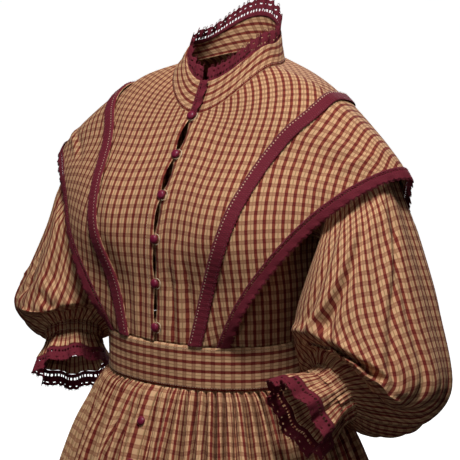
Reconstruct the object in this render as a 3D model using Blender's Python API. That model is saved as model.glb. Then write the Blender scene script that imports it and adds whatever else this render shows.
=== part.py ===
# A checked cotton dress with shoulder overlays, full elbow sleeves, a stand collar and a gathered skirt.
# The cloth is rigid here and stands in its worn, hollow form. Front faces -Y, the wearer's left is +X.
# Tables are in centimetres, with z counted from the top of the waistband and y from the middle of
# the waist. FRAME moves them so that the origin is between the shoulder seams, in metres.

import math

import bmesh
import bpy
import numpy as np

CM = 0.01
FRAME = np.array([0.0, -4.0, -33.0])   # cm: waist middle to the shoulder point that the origin marks

CLOTH = 0.13          # cm: wall of the checked cotton
SKIRT_WALL = 0.16     # cm: wall of the skirt, measured straight in, so that its gathers keep 1 mm
LACE = 0.12           # cm: wall of the lace
BAND_WALL = 0.30      # cm: waistband, two layers of cloth
COLLAR_WALL = 0.20    # cm: stand collar, two layers of cloth
GAP = 0.03            # cm: room left between pieces at a seam
SKIN = 0.012          # cm: extra room where a curved piece lies on another
LAID = 0.125          # cm: room under lace, whose wall has other corners than the cloth
BODICE_ROOM = 0.34    # cm: from the overlay's outer face down to the bodice under it

BAND_HEIGHT = 5.4     # cm: waistband
BRAID_WIDTH = 1.6     # cm: inner lace braid on the overlay
EDGING_WIDTH = 1.7    # cm: lace edging on the free edge of the overlay
EDGING_PROUD = 0.5    # cm: how far the edging stands past the overlay's edge
OVERLAY_PITCH = 2.5   # cm: one step of the overlay's wall along its length
SLEEVE_ROOM = 0.85    # cm: from the overlay's outer face down to the sleeve under it
PAST_EDGE = 0.35      # how far past its free edge the overlay still holds the sleeve down, in wall columns
LET_UP = (1.0, 3.4)   # cm beside the overlay: from and to where the sleeve comes up beside it
SCALLOP = 1.25        # cm: one scallop of the lace
SCALLOP_DEEP = 0.28   # cm

BUTTON_RADIUS = 0.56  # cm
BUTTON_HIGH = 0.50    # cm
BUTTON_RIM = 0.12     # cm: straight side under the dome
BUTTON_FOOT = 0.8     # radius at the cloth, as a part of the full one
BUTTON_SIDES = 10
BUTTON_ROOM = 0.035   # cm: between a button and the cloth
BUTTON_STEPS = 3
BUTTON_PITCH = 5.42   # cm along the front opening
FIRST_BUTTON = 0.6    # cm: below the neck seam
BODICE_BUTTONS = 6
SKIRT_BUTTON_Z = (-9.4, -14.2)
LAP = 0.9             # cm: how far the right front reaches past the middle
LAP_FLAT = 1.4        # cm: to here from the middle the right front lies on the left one
LAP_FADE = 4.0        # cm: from here it is down on the figure again

SKIRT_FOLDS = 24      # large folds that they run into at the hem
SLEEVE_GATHERS = 18   # gathers at each elbow
FRILL_WAVES = 8       # flutes in each cuff


def table(columns, rows):
    """A table with named columns: its rows as an array, and each column's place in a row."""
    return {"rows": np.array(rows, float), "at": {name: i for i, name in enumerate(columns.split())}}


# Rings of the bodice from the waist up to the neck, each through its front, side and back point
TORSO = table("front_z side_z back_z half_width front_y side_y back_y square", [
    (0.0, 0.0, 0.0, 13.25, -10.15, 0.2, 10.1, 0.92),     # waist seam
    (6.5, 6.5, 6.5, 14.3, -10.0, 0.9, 11.2, 0.85),       # ribs
    (12.6, 12.8, 13.5, 15.9, -10.1, 1.8, 12.5, 0.76),    # bust and underarm
    (18.0, 19.0, 20.0, 16.9, -8.6, 3.0, 13.2, 0.74),     # chest
    (22.7, 24.8, 26.0, 17.5, -5.8, 3.8, 13.0, 0.85),     # upper chest
    (25.2, 28.0, 30.2, 17.4, -4.2, 4.0, 12.3, 0.92),     # shoulder tip
    (26.4, 31.1, 32.8, 13.2, -3.3, 4.2, 11.6, 1.0),      # middle of the shoulder
    (27.2, 33.0, 34.4, 7.2, -2.7, 4.4, 11.0, 1.0),       # neck seam
])
UNDERARM_ROW, TIP_ROW, NECK_ROW = 2, 5, 7
ARMHOLE_FRONT, ARMHOLE_BACK = 29.0, 25.0    # degrees that each armhole edge curves in from the side
BUST = {"x": 9.5, "z": 14.0, "out": 1.35, "x_spread": 5.5, "z_spread": 6.5}

# The overlay's inner edge, on the bodice: ring number and angle round the body from the front
INNER_EDGE = table("ring angle", [
    (0.0, 18.2), (1.0, 22.6), (2.0, 27.4), (3.0, 31.0), (4.0, 39.6), (5.0, 52.0), (5.6, 90.0),
    (5.0, 128.0), (4.0, 141.5), (3.0, 148.0), (2.0, 151.0), (1.0, 155.0), (0.0, 160.5),
])
# The overlay's free outer edge, at the same stations
OUTER_EDGE = table("x y z", [
    (9.0, -8.0, 0.0), (12.3, -9.0, 5.2), (16.1, -7.8, 10.9), (19.5, -5.0, 15.5), (23.0, -2.0, 18.8),
    (25.6, 0.9, 20.6), (26.8, 3.8, 20.7), (25.2, 6.3, 18.9), (23.0, 9.2, 14.9), (20.6, 11.6, 11.0),
    (17.2, 12.2, 7.4), (13.5, 10.6, 3.6), (10.4, 7.4, 0.0),
])
STATIONS = 12
END_STATIONS = (0.35, 11.2, 11.45, 11.65, 11.85)    # closer wall rows where it turns into the waist
FULLNESS = (0.58, 0.16)    # how long the overlay keeps the bodice's direction: at the waist, and more above

# Sleeves: each ring by its outer point, its inner point, its reach to front and back, and its turn
SLEEVE_COLUMNS = "outer_x outer_y outer_z inner_x inner_y inner_z front back turn"
LEFT_SLEEVE = table(SLEEVE_COLUMNS, [
    (20.3, 3.9, 25.9, 17.0, 2.2, 12.2, 6.0, 6.4, 0),
    (23.3, 3.5, 22.7, 17.3, 2.2, 11.8, 6.0, 6.8, 0),
    (25.7, 3.0, 18.6, 17.0, 1.8, 10.8, 7.3, 7.3, 0),
    (28.6, 2.4, 12.3, 16.3, 1.4, 8.4, 9.4, 8.1, 0),
    (31.5, 1.9, 5.0, 15.4, 0.6, 4.4, 10.5, 9.0, 5),
    (33.8, 1.5, -2.6, 15.1, -0.8, 0.2, 10.4, 9.4, 20),
    (32.4, -1.0, -5.3, 16.2, -2.4, -3.2, 7.7, 7.2, 50),
    (28.9, -4.6, -5.1, 18.3, -3.6, -3.5, 6.0, 5.8, 60),
    (26.9, -7.2, -4.3, 19.8, -4.9, -3.0, 3.8, 3.8, 64),
])
RIGHT_SLEEVE = table(SLEEVE_COLUMNS, [
    (20.3, 3.9, 25.9, 17.0, 2.2, 12.2, 6.0, 6.4, 0),
    (22.9, 3.5, 22.7, 17.3, 2.2, 11.8, 6.0, 6.7, 0),
    (23.9, 3.0, 18.4, 17.1, 1.8, 10.8, 6.4, 7.1, 0),
    (25.4, 2.0, 12.0, 16.3, 1.4, 8.2, 7.1, 7.7, 0),
    (28.0, 1.0, 5.8, 15.6, 0.8, 5.4, 7.7, 8.4, 2),
    (30.1, -0.1, 0.4, 15.2, 0.3, 2.8, 7.8, 8.2, 10),
    (29.2, -1.1, -3.0, 15.9, 0.2, 1.2, 6.7, 7.2, 22),
    (27.2, -1.4, -4.5, 17.1, -0.1, -0.2, 5.0, 5.6, 28),
    (25.4, -1.5, -4.8, 18.6, -0.5, -1.8, 3.8, 3.8, 30),
])
SLEEVE_RINGS = [0.0, 1.0, 1.5, 2.0, 2.5, 3.0, 4.0, 5.0, 5.8, 6.6, 7.3, 8.0, 8.5, 9.0]
HEAD_RINGS = 7        # the rings at the sleeve's head, which the overlay covers
ARMHOLE_MIDDLE = [17.0, 3.0, 20.5]
SLEEVE_FIRST = 0.22   # cm: from the armhole seam to where the sleeve's wall starts
ELBOW_GATHER = 0.34   # cm: half the height of a gather above the casing
WRIST_GATHER = 0.16   # cm: and at the casing
GATHERS_FROM = (4.6, 7.6)    # ring numbers between which the gathers rise to their full height
GATHERS_TO = (8.0, 9.0)      # and between which they sink to the casing's

# Large folds of a sleeve: from one point to another, as angle round it and ring number
FOLD_COLUMNS = "angle ring end_angle end_ring width deep"
LEFT_FOLDS = table(FOLD_COLUMNS, [
    (40, 1.6, 112, 6.2, 11, 0.9),
    (58, 1.4, 128, 5.8, 9, -0.9),
    (10, 2.2, 20, 6.4, 9, 0.6),
    (-8, 2.0, -2, 6.6, 9, -0.7),
    (84, 5.4, 132, 6.6, 10, -1.1),
    (60, 5.9, 118, 7.0, 9, 0.8),
    (-60, 2.4, -40, 6.4, 11, -0.7),
    (-95, 2.6, -80, 6.4, 11, 0.7),
    (35, 5.6, 60, 7.2, 9, -0.8),
])
RIGHT_FOLDS = table(FOLD_COLUMNS, [
    (20, 2.0, 30, 6.4, 10, 0.7),
    (48, 2.6, 58, 6.2, 9, -0.7),
    (80, 4.2, 28, 5.4, 10, 0.9),
    (70, 5.0, 20, 6.0, 9, -0.8),
    (-30, 2.2, -26, 6.4, 11, -0.7),
    (-75, 2.4, -64, 6.2, 11, 0.7),
    (120, 4.0, 112, 6.4, 11, -0.6),
])

# Cuff rings along the forearm from the elbow gathers: way out, radius and wave
CUFFS = table("along radius wave", [
    (0.0, 3.72, 0.16), (1.7, 3.72, 0.16), (3.9, 4.55, 0.42), (6.0, 4.95, 0.6),
])

WAISTBAND = {"half_width": 13.55, "front_y": -10.45, "side_y": 0.1, "back_y": 10.4, "square": 0.92}
BAND_COLUMNS = 44

# Rings of the skirt below the waistband
SKIRT = table("z half_width front_y back_y gather fold", [
    (-BAND_HEIGHT - GAP, 13.35, -10.35, 10.3, 0.24, 0.0),
    (-6.6, 14.5, -11.3, 12.0, 0.34, 0.05),
    (-9.6, 16.1, -12.9, 14.8, 0.42, 0.2),
    (-15.0, 18.6, -15.3, 17.8, 0.42, 0.5),
    (-27.0, 22.4, -19.0, 22.2, 0.34, 1.0),
    (-50.0, 29.0, -25.6, 29.6, 0.22, 1.5),
    (-99.0, 41.0, -37.5, 42.0, 0.1, 2.2),
])
SKIRT_WIDTHS = [("skirt_front", 0, 60), ("skirt_side", 60, 120), ("skirt_back", 120, 180)]
SKIRT_COLUMNS = 24    # wall columns in each width
SKIRT_PLACES = [0.0, 0.8, 2.0, 3.2, 4.6, 6.0]    # wall rows, as places between the rings above
PLACKET = 9.0         # degrees beside the opening where the gathers lie flat
WAIST_RADIUS = 14.0   # cm: to turn a gap between widths into an angle
WANDER = {"waves": 5, "turn": 0.6, "side_turn": 0.8}                    # how the folds stray round the skirt
UNEVEN = {"waves": 7, "size": 0.35, "side_waves": 3, "side_size": 0.15}    # and differ in depth

# The stand collar's top edge, through its front, side and back point, and its lace ruffle
COLLAR_TOP = {"front_z": 31.1, "side_z": 35.6, "back_z": 39.2, "half_width": 5.9,
              "front_y": -0.7, "side_y": 5.3, "back_y": 11.4, "square": 1.0}
COLLAR_RISES = [0.0, 0.34, 0.67, 1.0]
COLLAR_OPEN = 3.2     # degrees left open each side of the middle front
NECK_MIDDLE = [0.0, 5.2, 0.0]
RUFFLE_WAVES = 22
# Each row of the ruffle: its rise above the collar's edge, its way out, and its wave, in cm
RUFFLE = table("rise out wave", [(2.5 * GAP, 0.0, 0.0), (1.0, 0.1, 0.16), (1.85, 0.25, 0.24)])

COTTON = ("checked_cotton", (0.45, 0.25, 0.16, 1.0), 0.85)
WINE_LACE = ("wine_lace", (0.19, 0.015, 0.045, 1.0), 0.8)
WINE_SATIN = ("wine_satin", (0.22, 0.012, 0.06, 1.0), 0.4)


def spline(rows, place):
    """The smooth curve through numbered rows, read at a place between them."""
    start = int(min(max(math.floor(place), 0), len(rows) - 2))
    f = place - start
    before, here = rows[max(start - 1, 0)], rows[start]
    there, after = rows[start + 1], rows[min(start + 2, len(rows) - 1)]
    return 0.5 * (2 * here + (there - before) * f + (2 * before - 5 * here + 4 * there - after) * f * f
                  + (3 * here - before - 3 * there + after) * f ** 3)


def smooth(value, low, high):
    """0 below low, 1 above high, with a soft way between."""
    f = min(max((value - low) / (high - low), 0.0), 1.0)
    return f * f * (3 - 2 * f)


def ring_point(row, angle):
    """A point of a body ring at an angle round it: 0 front, 90 side, 180 back."""
    front_z, side_z, back_z, half_width, front_y, side_y, back_y, square = row
    across, along = math.sin(math.radians(angle)), math.cos(math.radians(angle))
    end_y, end_z = (front_y, front_z) if along >= 0 else (back_y, back_z)
    reach = abs(along)
    x = half_width * math.copysign(abs(across) ** square, across)
    y = side_y + (end_y - side_y) * reach ** square
    return np.array([x, y, side_z + (end_z - side_z) * reach * reach])


def torso(ring, angle):
    """A point of the bodice's outer surface."""
    point = ring_point(spline(TORSO["rows"], ring), angle)
    if abs(angle) < 90:
        off_x = (abs(point[0]) - BUST["x"]) / BUST["x_spread"]
        off_z = (point[2] - BUST["z"]) / BUST["z_spread"]
        ahead = smooth(math.cos(math.radians(angle)), 0.0, 0.5)
        point[1] -= BUST["out"] * math.exp(-off_x ** 2 - off_z ** 2) * ahead
    return point


def angle_at(ring, x):
    """The angle round the front at which a ring reaches a distance from the middle."""
    row = spline(TORSO["rows"], ring)
    half_width, square = row[TORSO["at"]["half_width"]], row[TORSO["at"]["square"]]
    return math.copysign(math.degrees(math.asin((abs(x) / half_width) ** (1 / square))), x)


def armhole_angle(ring, curve_in, front):
    """Where a bodice panel ends at the side: at the seam, or at the armhole's edge."""
    turn = 0.0
    if UNDERARM_ROW < ring < TIP_ROW:
        turn = curve_in * math.sin(math.pi * (ring - UNDERARM_ROW) / (TIP_ROW - UNDERARM_ROW)) ** 0.6
    return 90 - turn if front else 90 + turn


def normals(grid, closed):
    """Directions out of a grid of points whose columns run towards the wearer's left and rows up."""
    if closed:
        across = np.roll(grid, -1, axis=1) - np.roll(grid, 1, axis=1)
    else:
        across = np.gradient(grid, axis=1)
    out = np.cross(across, np.gradient(grid, axis=0))
    return out / np.maximum(np.linalg.norm(out, axis=2, keepdims=True), 1e-9)


def moved_out(grid, distance, closed=False):
    return grid + normals(grid, closed) * distance


def mirrored(grid):
    """The same piece on the other side, with its columns turned so that it still faces out."""
    other = grid[:, ::-1].copy()
    other[..., 0] *= -1
    return other


def material(finish):
    name, colour, roughness = finish
    found = bpy.data.materials.get(name)
    if found is None:
        found = bpy.data.materials.new(name)
        found.use_nodes = True
        shader = found.node_tree.nodes["Principled BSDF"]
        shader.inputs["Base Color"].default_value = colour
        shader.inputs["Roughness"].default_value = roughness
        shader.inputs["Metallic"].default_value = 0.0
    return found


def add_mesh(name, points, faces, finish):
    mesh = bpy.data.meshes.new(name)
    mesh.from_pydata([tuple((p + FRAME) * CM) for p in points], [], faces)
    solid = bmesh.new()
    solid.from_mesh(mesh)
    bmesh.ops.recalc_face_normals(solid, faces=solid.faces)
    solid.to_mesh(mesh)
    solid.free()
    mesh.materials.append(material(finish))
    mesh.shade_smooth()
    mesh.set_sharp_from_angle(angle=math.radians(50))
    piece = bpy.data.objects.new(name, mesh)
    bpy.context.collection.objects.link(piece)
    return piece


def wall(name, grid, thickness, finish, closed=False, out=None):
    """A closed solid between a grid of outer points and the same points moved in by the thickness."""
    rows, columns = grid.shape[:2]
    inner = moved_out(grid, -thickness, closed) if out is None else grid - out * thickness
    points = list(grid.reshape(-1, 3)) + list(inner.reshape(-1, 3))
    count = rows * columns
    faces = []
    edges = set()
    for r in range(rows - 1):
        for c in range(columns if closed else columns - 1):
            d = (c + 1) % columns
            quad = [r * columns + c, r * columns + d, (r + 1) * columns + d, (r + 1) * columns + c]
            for half in ((quad[0], quad[1], quad[2]), (quad[0], quad[2], quad[3])):
                faces.append(list(half))    # cut the same way on both sides, so that a twisted wall stays clear
                faces.append([count + i for i in reversed(half)])
            for a, b in zip(quad, quad[1:] + quad[:1]):
                edges.add((a, b))
    for a, b in sorted(edges):
        if (b, a) not in edges:
            faces.append([b, a, count + a, count + b])
    return add_mesh(name, points, faces, finish)


PANEL_RINGS = [0.0, 0.7, 1.4, 2.0, 2.25, 2.6, 3.1, 3.7, 4.3, 4.8, 5.0, 5.5, 6.2, 7.0]
SEAM = math.degrees(GAP / 10.0)    # half of a side seam's gap, as an angle round the body


def front_angles(ring):
    """The columns of a front panel at one ring, from beside the opening to the side."""
    last = armhole_angle(ring, ARMHOLE_FRONT, True) - SEAM
    return [angle_at(ring, LAP)] + list(np.linspace(angle_at(ring, 2 * LAP + 1), last, 7))


def back_angles(ring):
    side = armhole_angle(ring, ARMHOLE_BACK, False) + SEAM
    return list(np.linspace(side, 180, 7))


def front_grid():
    """The left front panel, with its underlap past the middle."""
    columns = [[-angle_at(ring, LAP)] + front_angles(ring) for ring in PANEL_RINGS]
    grid = np.array([[torso(ring, a) for a in angles] for ring, angles in zip(PANEL_RINGS, columns)])
    grid[0, :, 2] = GAP
    return grid


def lap_lift(grid):
    """How much of the lap's height each point of the right front has."""
    return np.array([[1 - smooth(-p[0], LAP_FLAT, LAP_FADE) for p in row] for row in grid])[..., None]


def overlay_point(station, across):
    """A point of the overlay: across is 0 on its inner edge, on the bodice, and 1 on its free edge."""
    ring, angle = spline(INNER_EDGE["rows"], station)
    start = torso(ring, angle)
    end = spline(OUTER_EDGE["rows"], station)
    step = 0.02
    round_body = torso(ring, angle + 1) - torso(ring, angle - 1)
    up_body = torso(min(ring + step, NECK_ROW), angle) - torso(max(ring - step, 0), angle)
    out = np.cross(round_body, up_body)
    out /= np.linalg.norm(out)
    start = start + out * (CLOTH + 3 * GAP + SKIN)
    way = end - start
    along = way - out * np.dot(way, out)
    middle = start + along * (FULLNESS[0] + FULLNESS[1] * math.sin(math.pi * station / STATIONS) ** 2)
    return (1 - across) ** 2 * start + 2 * across * (1 - across) * middle + across ** 2 * end


def stations_along(pitch, sides=(0.0, 1.0)):
    """Stations along the overlay, about one pitch apart on average over the edges named."""
    fine = np.linspace(0, STATIONS, 241)
    steps = [np.linalg.norm(np.diff([overlay_point(s, u) for s in fine], axis=0), axis=1) for u in sides]
    length = np.concatenate([[0], np.cumsum(np.mean(steps, axis=0))])
    count = 2 * int(round(length[-1] / pitch / 2))
    return np.interp(np.linspace(0, length[-1], count + 1), length, fine)


def trim_on(panel, stations, places, spans, scallops):
    """Lace laid on the overlay: spans are cm from its inner edge, or from its free edge if free."""
    out = normals(panel, False)
    grid, outs = [], []
    for k, station in enumerate(places):
        i = np.interp(station, stations, range(len(stations)))
        low = min(int(i), len(stations) - 2)
        f = i - low
        line = panel[low] * (1 - f) + panel[low + 1] * f
        facing = out[low] * (1 - f) + out[low + 1] * f
        length = np.concatenate([[0], np.cumsum(np.linalg.norm(np.diff(line, axis=0), axis=1))])
        row, turned = [], []
        for distance, free in spans:
            reach = (length[-1] if free else 0) + distance
            if scallops and distance == max(spans)[0] and k % 2:
                reach -= SCALLOP_DEEP
            inside = min(reach, length[-1])
            point = np.array([np.interp(inside, length, line[:, c]) for c in range(3)])
            end = line[-1] - line[-2]
            row.append(point + end / np.linalg.norm(end) * (reach - inside))
            turned.append([np.interp(inside, length, facing[:, c]) for c in range(3)])
        grid.append(row)
        outs.append(turned)
    outs = np.array(outs)
    outs[[0, -1], :, 2] = 0.0
    outs /= np.linalg.norm(outs, axis=2, keepdims=True)
    return np.array(grid) + outs * (LACE + LAID), outs


def overlay_grid():
    stations = np.sort(np.append(stations_along(OVERLAY_PITCH), END_STATIONS))
    panel = []
    for station in stations:
        line = np.array([overlay_point(station, u) for u in np.linspace(0, 1, 41)])
        length = np.concatenate([[0], np.cumsum(np.linalg.norm(np.diff(line, axis=0), axis=1))])
        last = length[-1] - (EDGING_WIDTH - EDGING_PROUD + 2 * GAP)
        reaches = [0.0] + list(np.linspace(BRAID_WIDTH + 2 * GAP, last, 4)) + [length[-1]]
        panel.append([[np.interp(reach, length, line[:, k]) for k in range(3)] for reach in reaches])
    panel = np.array(panel)
    for end in (0, -1):
        panel[end, :, 2] = GAP
    return stations, panel


def overlays():
    stations, panel = overlay_grid()
    fine = stations_along(SCALLOP / 2, sides=(1.0,))
    braid, braid_out = trim_on(panel, stations, stations, [(0.0, False), (BRAID_WIDTH, False)], False)
    spans = [(EDGING_PROUD - EDGING_WIDTH, True), (EDGING_PROUD, True)]
    edging, edging_out = trim_on(panel, stations, fine, spans, True)
    for side in ("left", "right"):
        turn = mirrored if side == "right" else (lambda grid: grid)
        wall("overlay_" + side, turn(panel), CLOTH, COTTON)
        wall("braid_" + side, turn(braid), LACE, WINE_LACE, out=turn(braid_out))
        wall("edging_" + side, turn(edging), LACE, WINE_LACE, out=turn(edging_out))


def halved(grid):
    """The grid with a point more in the middle of each step."""
    for _ in range(2):
        finer = np.repeat(grid, 2, axis=0)[:-1]
        finer[1::2] = (grid[1:] + grid[:-1]) / 2
        grid = finer.transpose(1, 0, 2)
    return grid


def tucked_under(points, panel, clearance):
    """Points of a piece pushed in where they would stand through the overlay that lies on it."""
    past = panel[:, -1:] + (panel[:, -1:] - panel[:, -2:-1]) * PAST_EDGE
    fine = halved(np.concatenate([panel, past], axis=1))
    out = normals(fine, False).reshape(-1, 3)
    marks = fine.reshape(-1, 3)
    edge = np.zeros(fine.shape[:2])
    edge[:, [0, -1]] = 1
    edge = edge.reshape(-1)
    result = points.copy()
    for i, point in enumerate(points.reshape(-1, 3)):
        near = np.argmin(((marks - point) ** 2).sum(axis=1))
        off = point - marks[near]
        above = np.dot(off, out[near])
        beside = np.linalg.norm(off - out[near] * above)
        push = max(above + clearance, 0.0)
        if edge[near]:
            push *= 1 - smooth(beside, *LET_UP)
        result.reshape(-1, 3)[i] = point - out[near] * push
    return result


def bodice():
    panel = overlay_grid()[1]
    left = tucked_under(front_grid(), panel, BODICE_ROOM)
    wall("bodice_front_left", left, CLOTH, COTTON)
    right = mirrored(left)
    right = right + normals(right, False) * lap_lift(right) * (CLOTH + GAP + SKIN)
    right[0, :, 2] = GAP
    wall("bodice_front_right", right, CLOTH, COTTON)
    half = np.array([[torso(ring, a) for a in back_angles(ring)] for ring in PANEL_RINGS])
    half = tucked_under(half, panel, BODICE_ROOM)
    half[0, :, 2] = GAP
    back = np.concatenate([half, mirrored(half)[:, 1:]], axis=1)
    wall("bodice_back", back, CLOTH, COTTON)


def armhole_point(angle):
    """The bodice's armhole edge at an angle: 0 shoulder tip, 90 front, 180 underarm, 270 back."""
    turn = angle % 360
    front = turn <= 180
    down = turn / 180 if front else (360 - turn) / 180
    ring = TIP_ROW - (TIP_ROW - UNDERARM_ROW) * (0.5 - 0.5 * math.cos(math.pi * down))
    curve_in = ARMHOLE_FRONT if front else ARMHOLE_BACK
    return torso(ring, armhole_angle(ring, curve_in, front))


def sleeve_ring(row, angle):
    at = LEFT_SLEEVE["at"]
    outer, inner = row[at["outer_x"]:at["outer_z"] + 1], row[at["inner_x"]:at["inner_z"] + 1]
    middle, half = (outer + inner) / 2, (outer - inner) / 2
    turn = math.radians(row[at["turn"]])
    ahead = np.array([0, -math.cos(turn), math.sin(turn)])
    ahead = ahead - half * np.dot(ahead, half) / np.dot(half, half)
    ahead /= np.linalg.norm(ahead)
    c, s = math.cos(math.radians(angle)), math.sin(math.radians(angle))
    reach = row[at["front"]] if s > 0 else row[at["back"]]
    return middle + half * c + ahead * s * reach


def fold_depth(folds, angle, ring):
    """How far the large folds lift or sink the sleeve at a point."""
    total = 0.0
    for start_angle, start_ring, end_angle, end_ring, width, deep in folds["rows"]:
        f = min(max((ring - start_ring) / (end_ring - start_ring), 0.0), 1.0)
        off = (angle - (start_angle + (end_angle - start_angle) * f) + 180) % 360 - 180
        past = max(start_ring - ring, ring - end_ring, 0.0)
        total += deep * math.exp(-(off / width) ** 2 - (past / 0.5) ** 2)
    return total


def sleeve_grid(sleeve, folds):
    count = 2 * SLEEVE_GATHERS
    angles = np.arange(count) * 360 / count
    columns = []
    for i, angle in enumerate(angles):
        start = armhole_point(angle)
        rings = np.array([start] + [sleeve_ring(row, angle) for row in sleeve["rows"]])
        way = rings[1] - rings[0]
        rings[0] = rings[0] + way / np.linalg.norm(way) * SLEEVE_FIRST
        middle = sleeve["rows"][:, :6].reshape(-1, 2, 3).mean(axis=1)
        centres = np.vstack([ARMHOLE_MIDDLE, middle])
        column = []
        for ring in SLEEVE_RINGS:
            point = spline(rings, ring)
            centre = spline(centres, ring)
            out = point - centre
            out /= np.linalg.norm(out)
            swell = ELBOW_GATHER * smooth(ring, *GATHERS_FROM)
            swell += (WRIST_GATHER - ELBOW_GATHER) * smooth(ring, *GATHERS_TO)
            gather = swell * (-1 if i % 2 else 1)
            column.append(point + out * (gather + fold_depth(folds, angle, ring)))
        columns.append(column)
    grid = np.array(columns).transpose(1, 0, 2)
    grid[:HEAD_RINGS] = tucked_under(grid[:HEAD_RINGS], overlay_grid()[1], SLEEVE_ROOM)
    return grid


def cuff_frame(sleeve):
    """The middle of the elbow gathers and the three directions of the forearm there."""
    row = sleeve["rows"][-1]
    middle = (row[0:3] + row[3:6]) / 2
    out = (row[0:3] - row[3:6]) / 2
    out /= np.linalg.norm(out)
    turn = math.radians(row[8])
    ahead = np.array([0, -math.cos(turn), math.sin(turn)])
    ahead -= out * np.dot(ahead, out)
    ahead /= np.linalg.norm(ahead)
    return middle, out, ahead, np.cross(out, ahead)


def cuff_grid(sleeve, first, last, steps, waves, columns):
    """A stretch of the cuff between two rows of its table."""
    middle, out, ahead, down = cuff_frame(sleeve)
    grid = []
    for place in np.linspace(first, last, steps):
        along, radius, wave = spline(CUFFS["rows"], place)
        row = []
        for i in range(columns):
            angle = 2 * math.pi * i / columns
            reach = radius + wave * math.cos(waves * angle)
            way = out * math.cos(angle) + ahead * math.sin(angle)
            row.append(middle + down * (along + GAP) + way * reach)
        grid.append(row)
    return np.array(grid)


def sleeves():
    for side, sleeve, folds in (("left", LEFT_SLEEVE, LEFT_FOLDS), ("right", RIGHT_SLEEVE, RIGHT_FOLDS)):
        turn = mirrored if side == "right" else (lambda g: g)
        grid = sleeve_grid(sleeve, folds)
        wall("sleeve_" + side, turn(grid), CLOTH, COTTON, closed=True)
        gap = GAP / (CUFFS["rows"][2][0] - CUFFS["rows"][1][0])
        casing = cuff_grid(sleeve, 0.0, 1.0 - gap / 2, 2, SLEEVE_GATHERS, 2 * SLEEVE_GATHERS)
        frill = cuff_grid(sleeve, 1.0 + gap / 2, 2.0 - gap / 2, 2, FRILL_WAVES, 5 * FRILL_WAVES)
        lace = cuff_grid(sleeve, 2.0 + gap / 2, 3.0, 3, FRILL_WAVES, 5 * FRILL_WAVES)
        wall("casing_" + side, turn(casing), CLOTH, COTTON, closed=True)
        wall("cuff_frill_" + side, turn(frill), CLOTH, COTTON, closed=True)
        wall("cuff_lace_" + side, turn(lace), LACE, WINE_LACE, closed=True)


def waistband():
    size = [WAISTBAND[c] for c in ("half_width", "front_y", "side_y", "back_y", "square")]
    angles = np.arange(BAND_COLUMNS) * 360 / BAND_COLUMNS
    grid = [[ring_point([z, z, z] + size, a) for a in angles] for z in (-BAND_HEIGHT, 0.0)]
    wall("waistband", np.array(grid), BAND_WALL, COTTON, closed=True)


def skirt_point(row, angle, gather_side, side):
    """A point of the skirt and the level direction straight out of it."""
    z, half_width, front_y, back_y, gather, fold = row
    middle_y, half_depth = (front_y + back_y) / 2, (back_y - front_y) / 2
    point = ring_point((z, z, z, half_width, front_y, middle_y, back_y, 1.0), angle)
    out = np.array([point[0] / half_width ** 2, (point[1] - middle_y) / half_depth ** 2, 0])
    out /= np.linalg.norm(out)
    turn = math.radians(angle)
    flat = smooth(angle, PLACKET * 0.4, PLACKET)
    stray = WANDER["turn"] * math.sin(WANDER["waves"] * turn) + WANDER["side_turn"] * side * math.sin(turn)
    wave = math.cos(SKIRT_FOLDS * turn + stray)
    uneven = 1 + UNEVEN["size"] * math.sin(UNEVEN["waves"] * turn)
    uneven += UNEVEN["side_size"] * side * math.sin(UNEVEN["side_waves"] * turn)
    return point + out * flat * (gather * gather_side + fold * wave * uneven), out


def skirt():
    half_gap = math.degrees(GAP / 2 / WAIST_RADIUS)
    for name, first, last in SKIRT_WIDTHS:
        for side in (1, -1):
            angles = np.linspace(first, last, SKIRT_COLUMNS + 1)
            angles[0] += half_gap if first else 0
            angles[-1] -= half_gap
            made = [[skirt_point(spline(SKIRT["rows"], place), a, -1 if i % 2 else 1, side)
                     for i, a in enumerate(angles)] for place in reversed(SKIRT_PLACES)]
            grid = np.array([[point for point, out in line] for line in made])
            outs = np.array([[out for point, out in line] for line in made])
            if first == 0:
                grid[:, 0, 0] = -LAP if side < 0 else GAP
            if side < 0:
                grid, outs = mirrored(grid), mirrored(outs)
                if first == 0:
                    grid = grid + outs * lap_lift(grid) * (SKIRT_WALL + GAP + SKIN)
            wall(name + ("_left" if side > 0 else "_right"), grid, SKIRT_WALL, COTTON, out=outs)


def collar_ring(rise, angle):
    """The stand collar between the neck seam, rise 0, and its top edge, rise 1."""
    low = spline(TORSO["rows"], NECK_ROW)
    names = ("front_z", "side_z", "back_z", "half_width", "front_y", "side_y", "back_y", "square")
    top = np.array([COLLAR_TOP[name] for name in names])
    return ring_point(low + (top - low) * rise, angle)


def collar():
    half = [COLLAR_OPEN] + front_angles(NECK_ROW) + back_angles(NECK_ROW)
    angles = half + [360 - a for a in half[-2::-1]]
    stand = np.array([[collar_ring(rise, a) for a in angles] for rise in COLLAR_RISES])
    stand[0, :, 2] += 3 * GAP
    wall("collar", stand, COLLAR_WALL, COTTON)
    many = np.linspace(COLLAR_OPEN, 360 - COLLAR_OPEN, 2 * RUFFLE_WAVES + 1)
    base = np.array([collar_ring(1.0, a) for a in many])
    up = base - np.array([collar_ring(COLLAR_RISES[-2], a) for a in many])
    up /= np.linalg.norm(up, axis=1, keepdims=True)
    out = (base - NECK_MIDDLE) * [1, 1, 0]
    out /= np.linalg.norm(out, axis=1, keepdims=True)
    inset = out * (COLLAR_WALL - LACE) / 2
    turns = np.array([1 if i % 2 else -1 for i in range(len(many))])[:, None]
    ruffle = [base - inset + up * rise + out * (off + turns * wave) for rise, off, wave in RUFFLE["rows"]]
    wall("collar_lace", np.array(ruffle), LACE, WINE_LACE)


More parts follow.
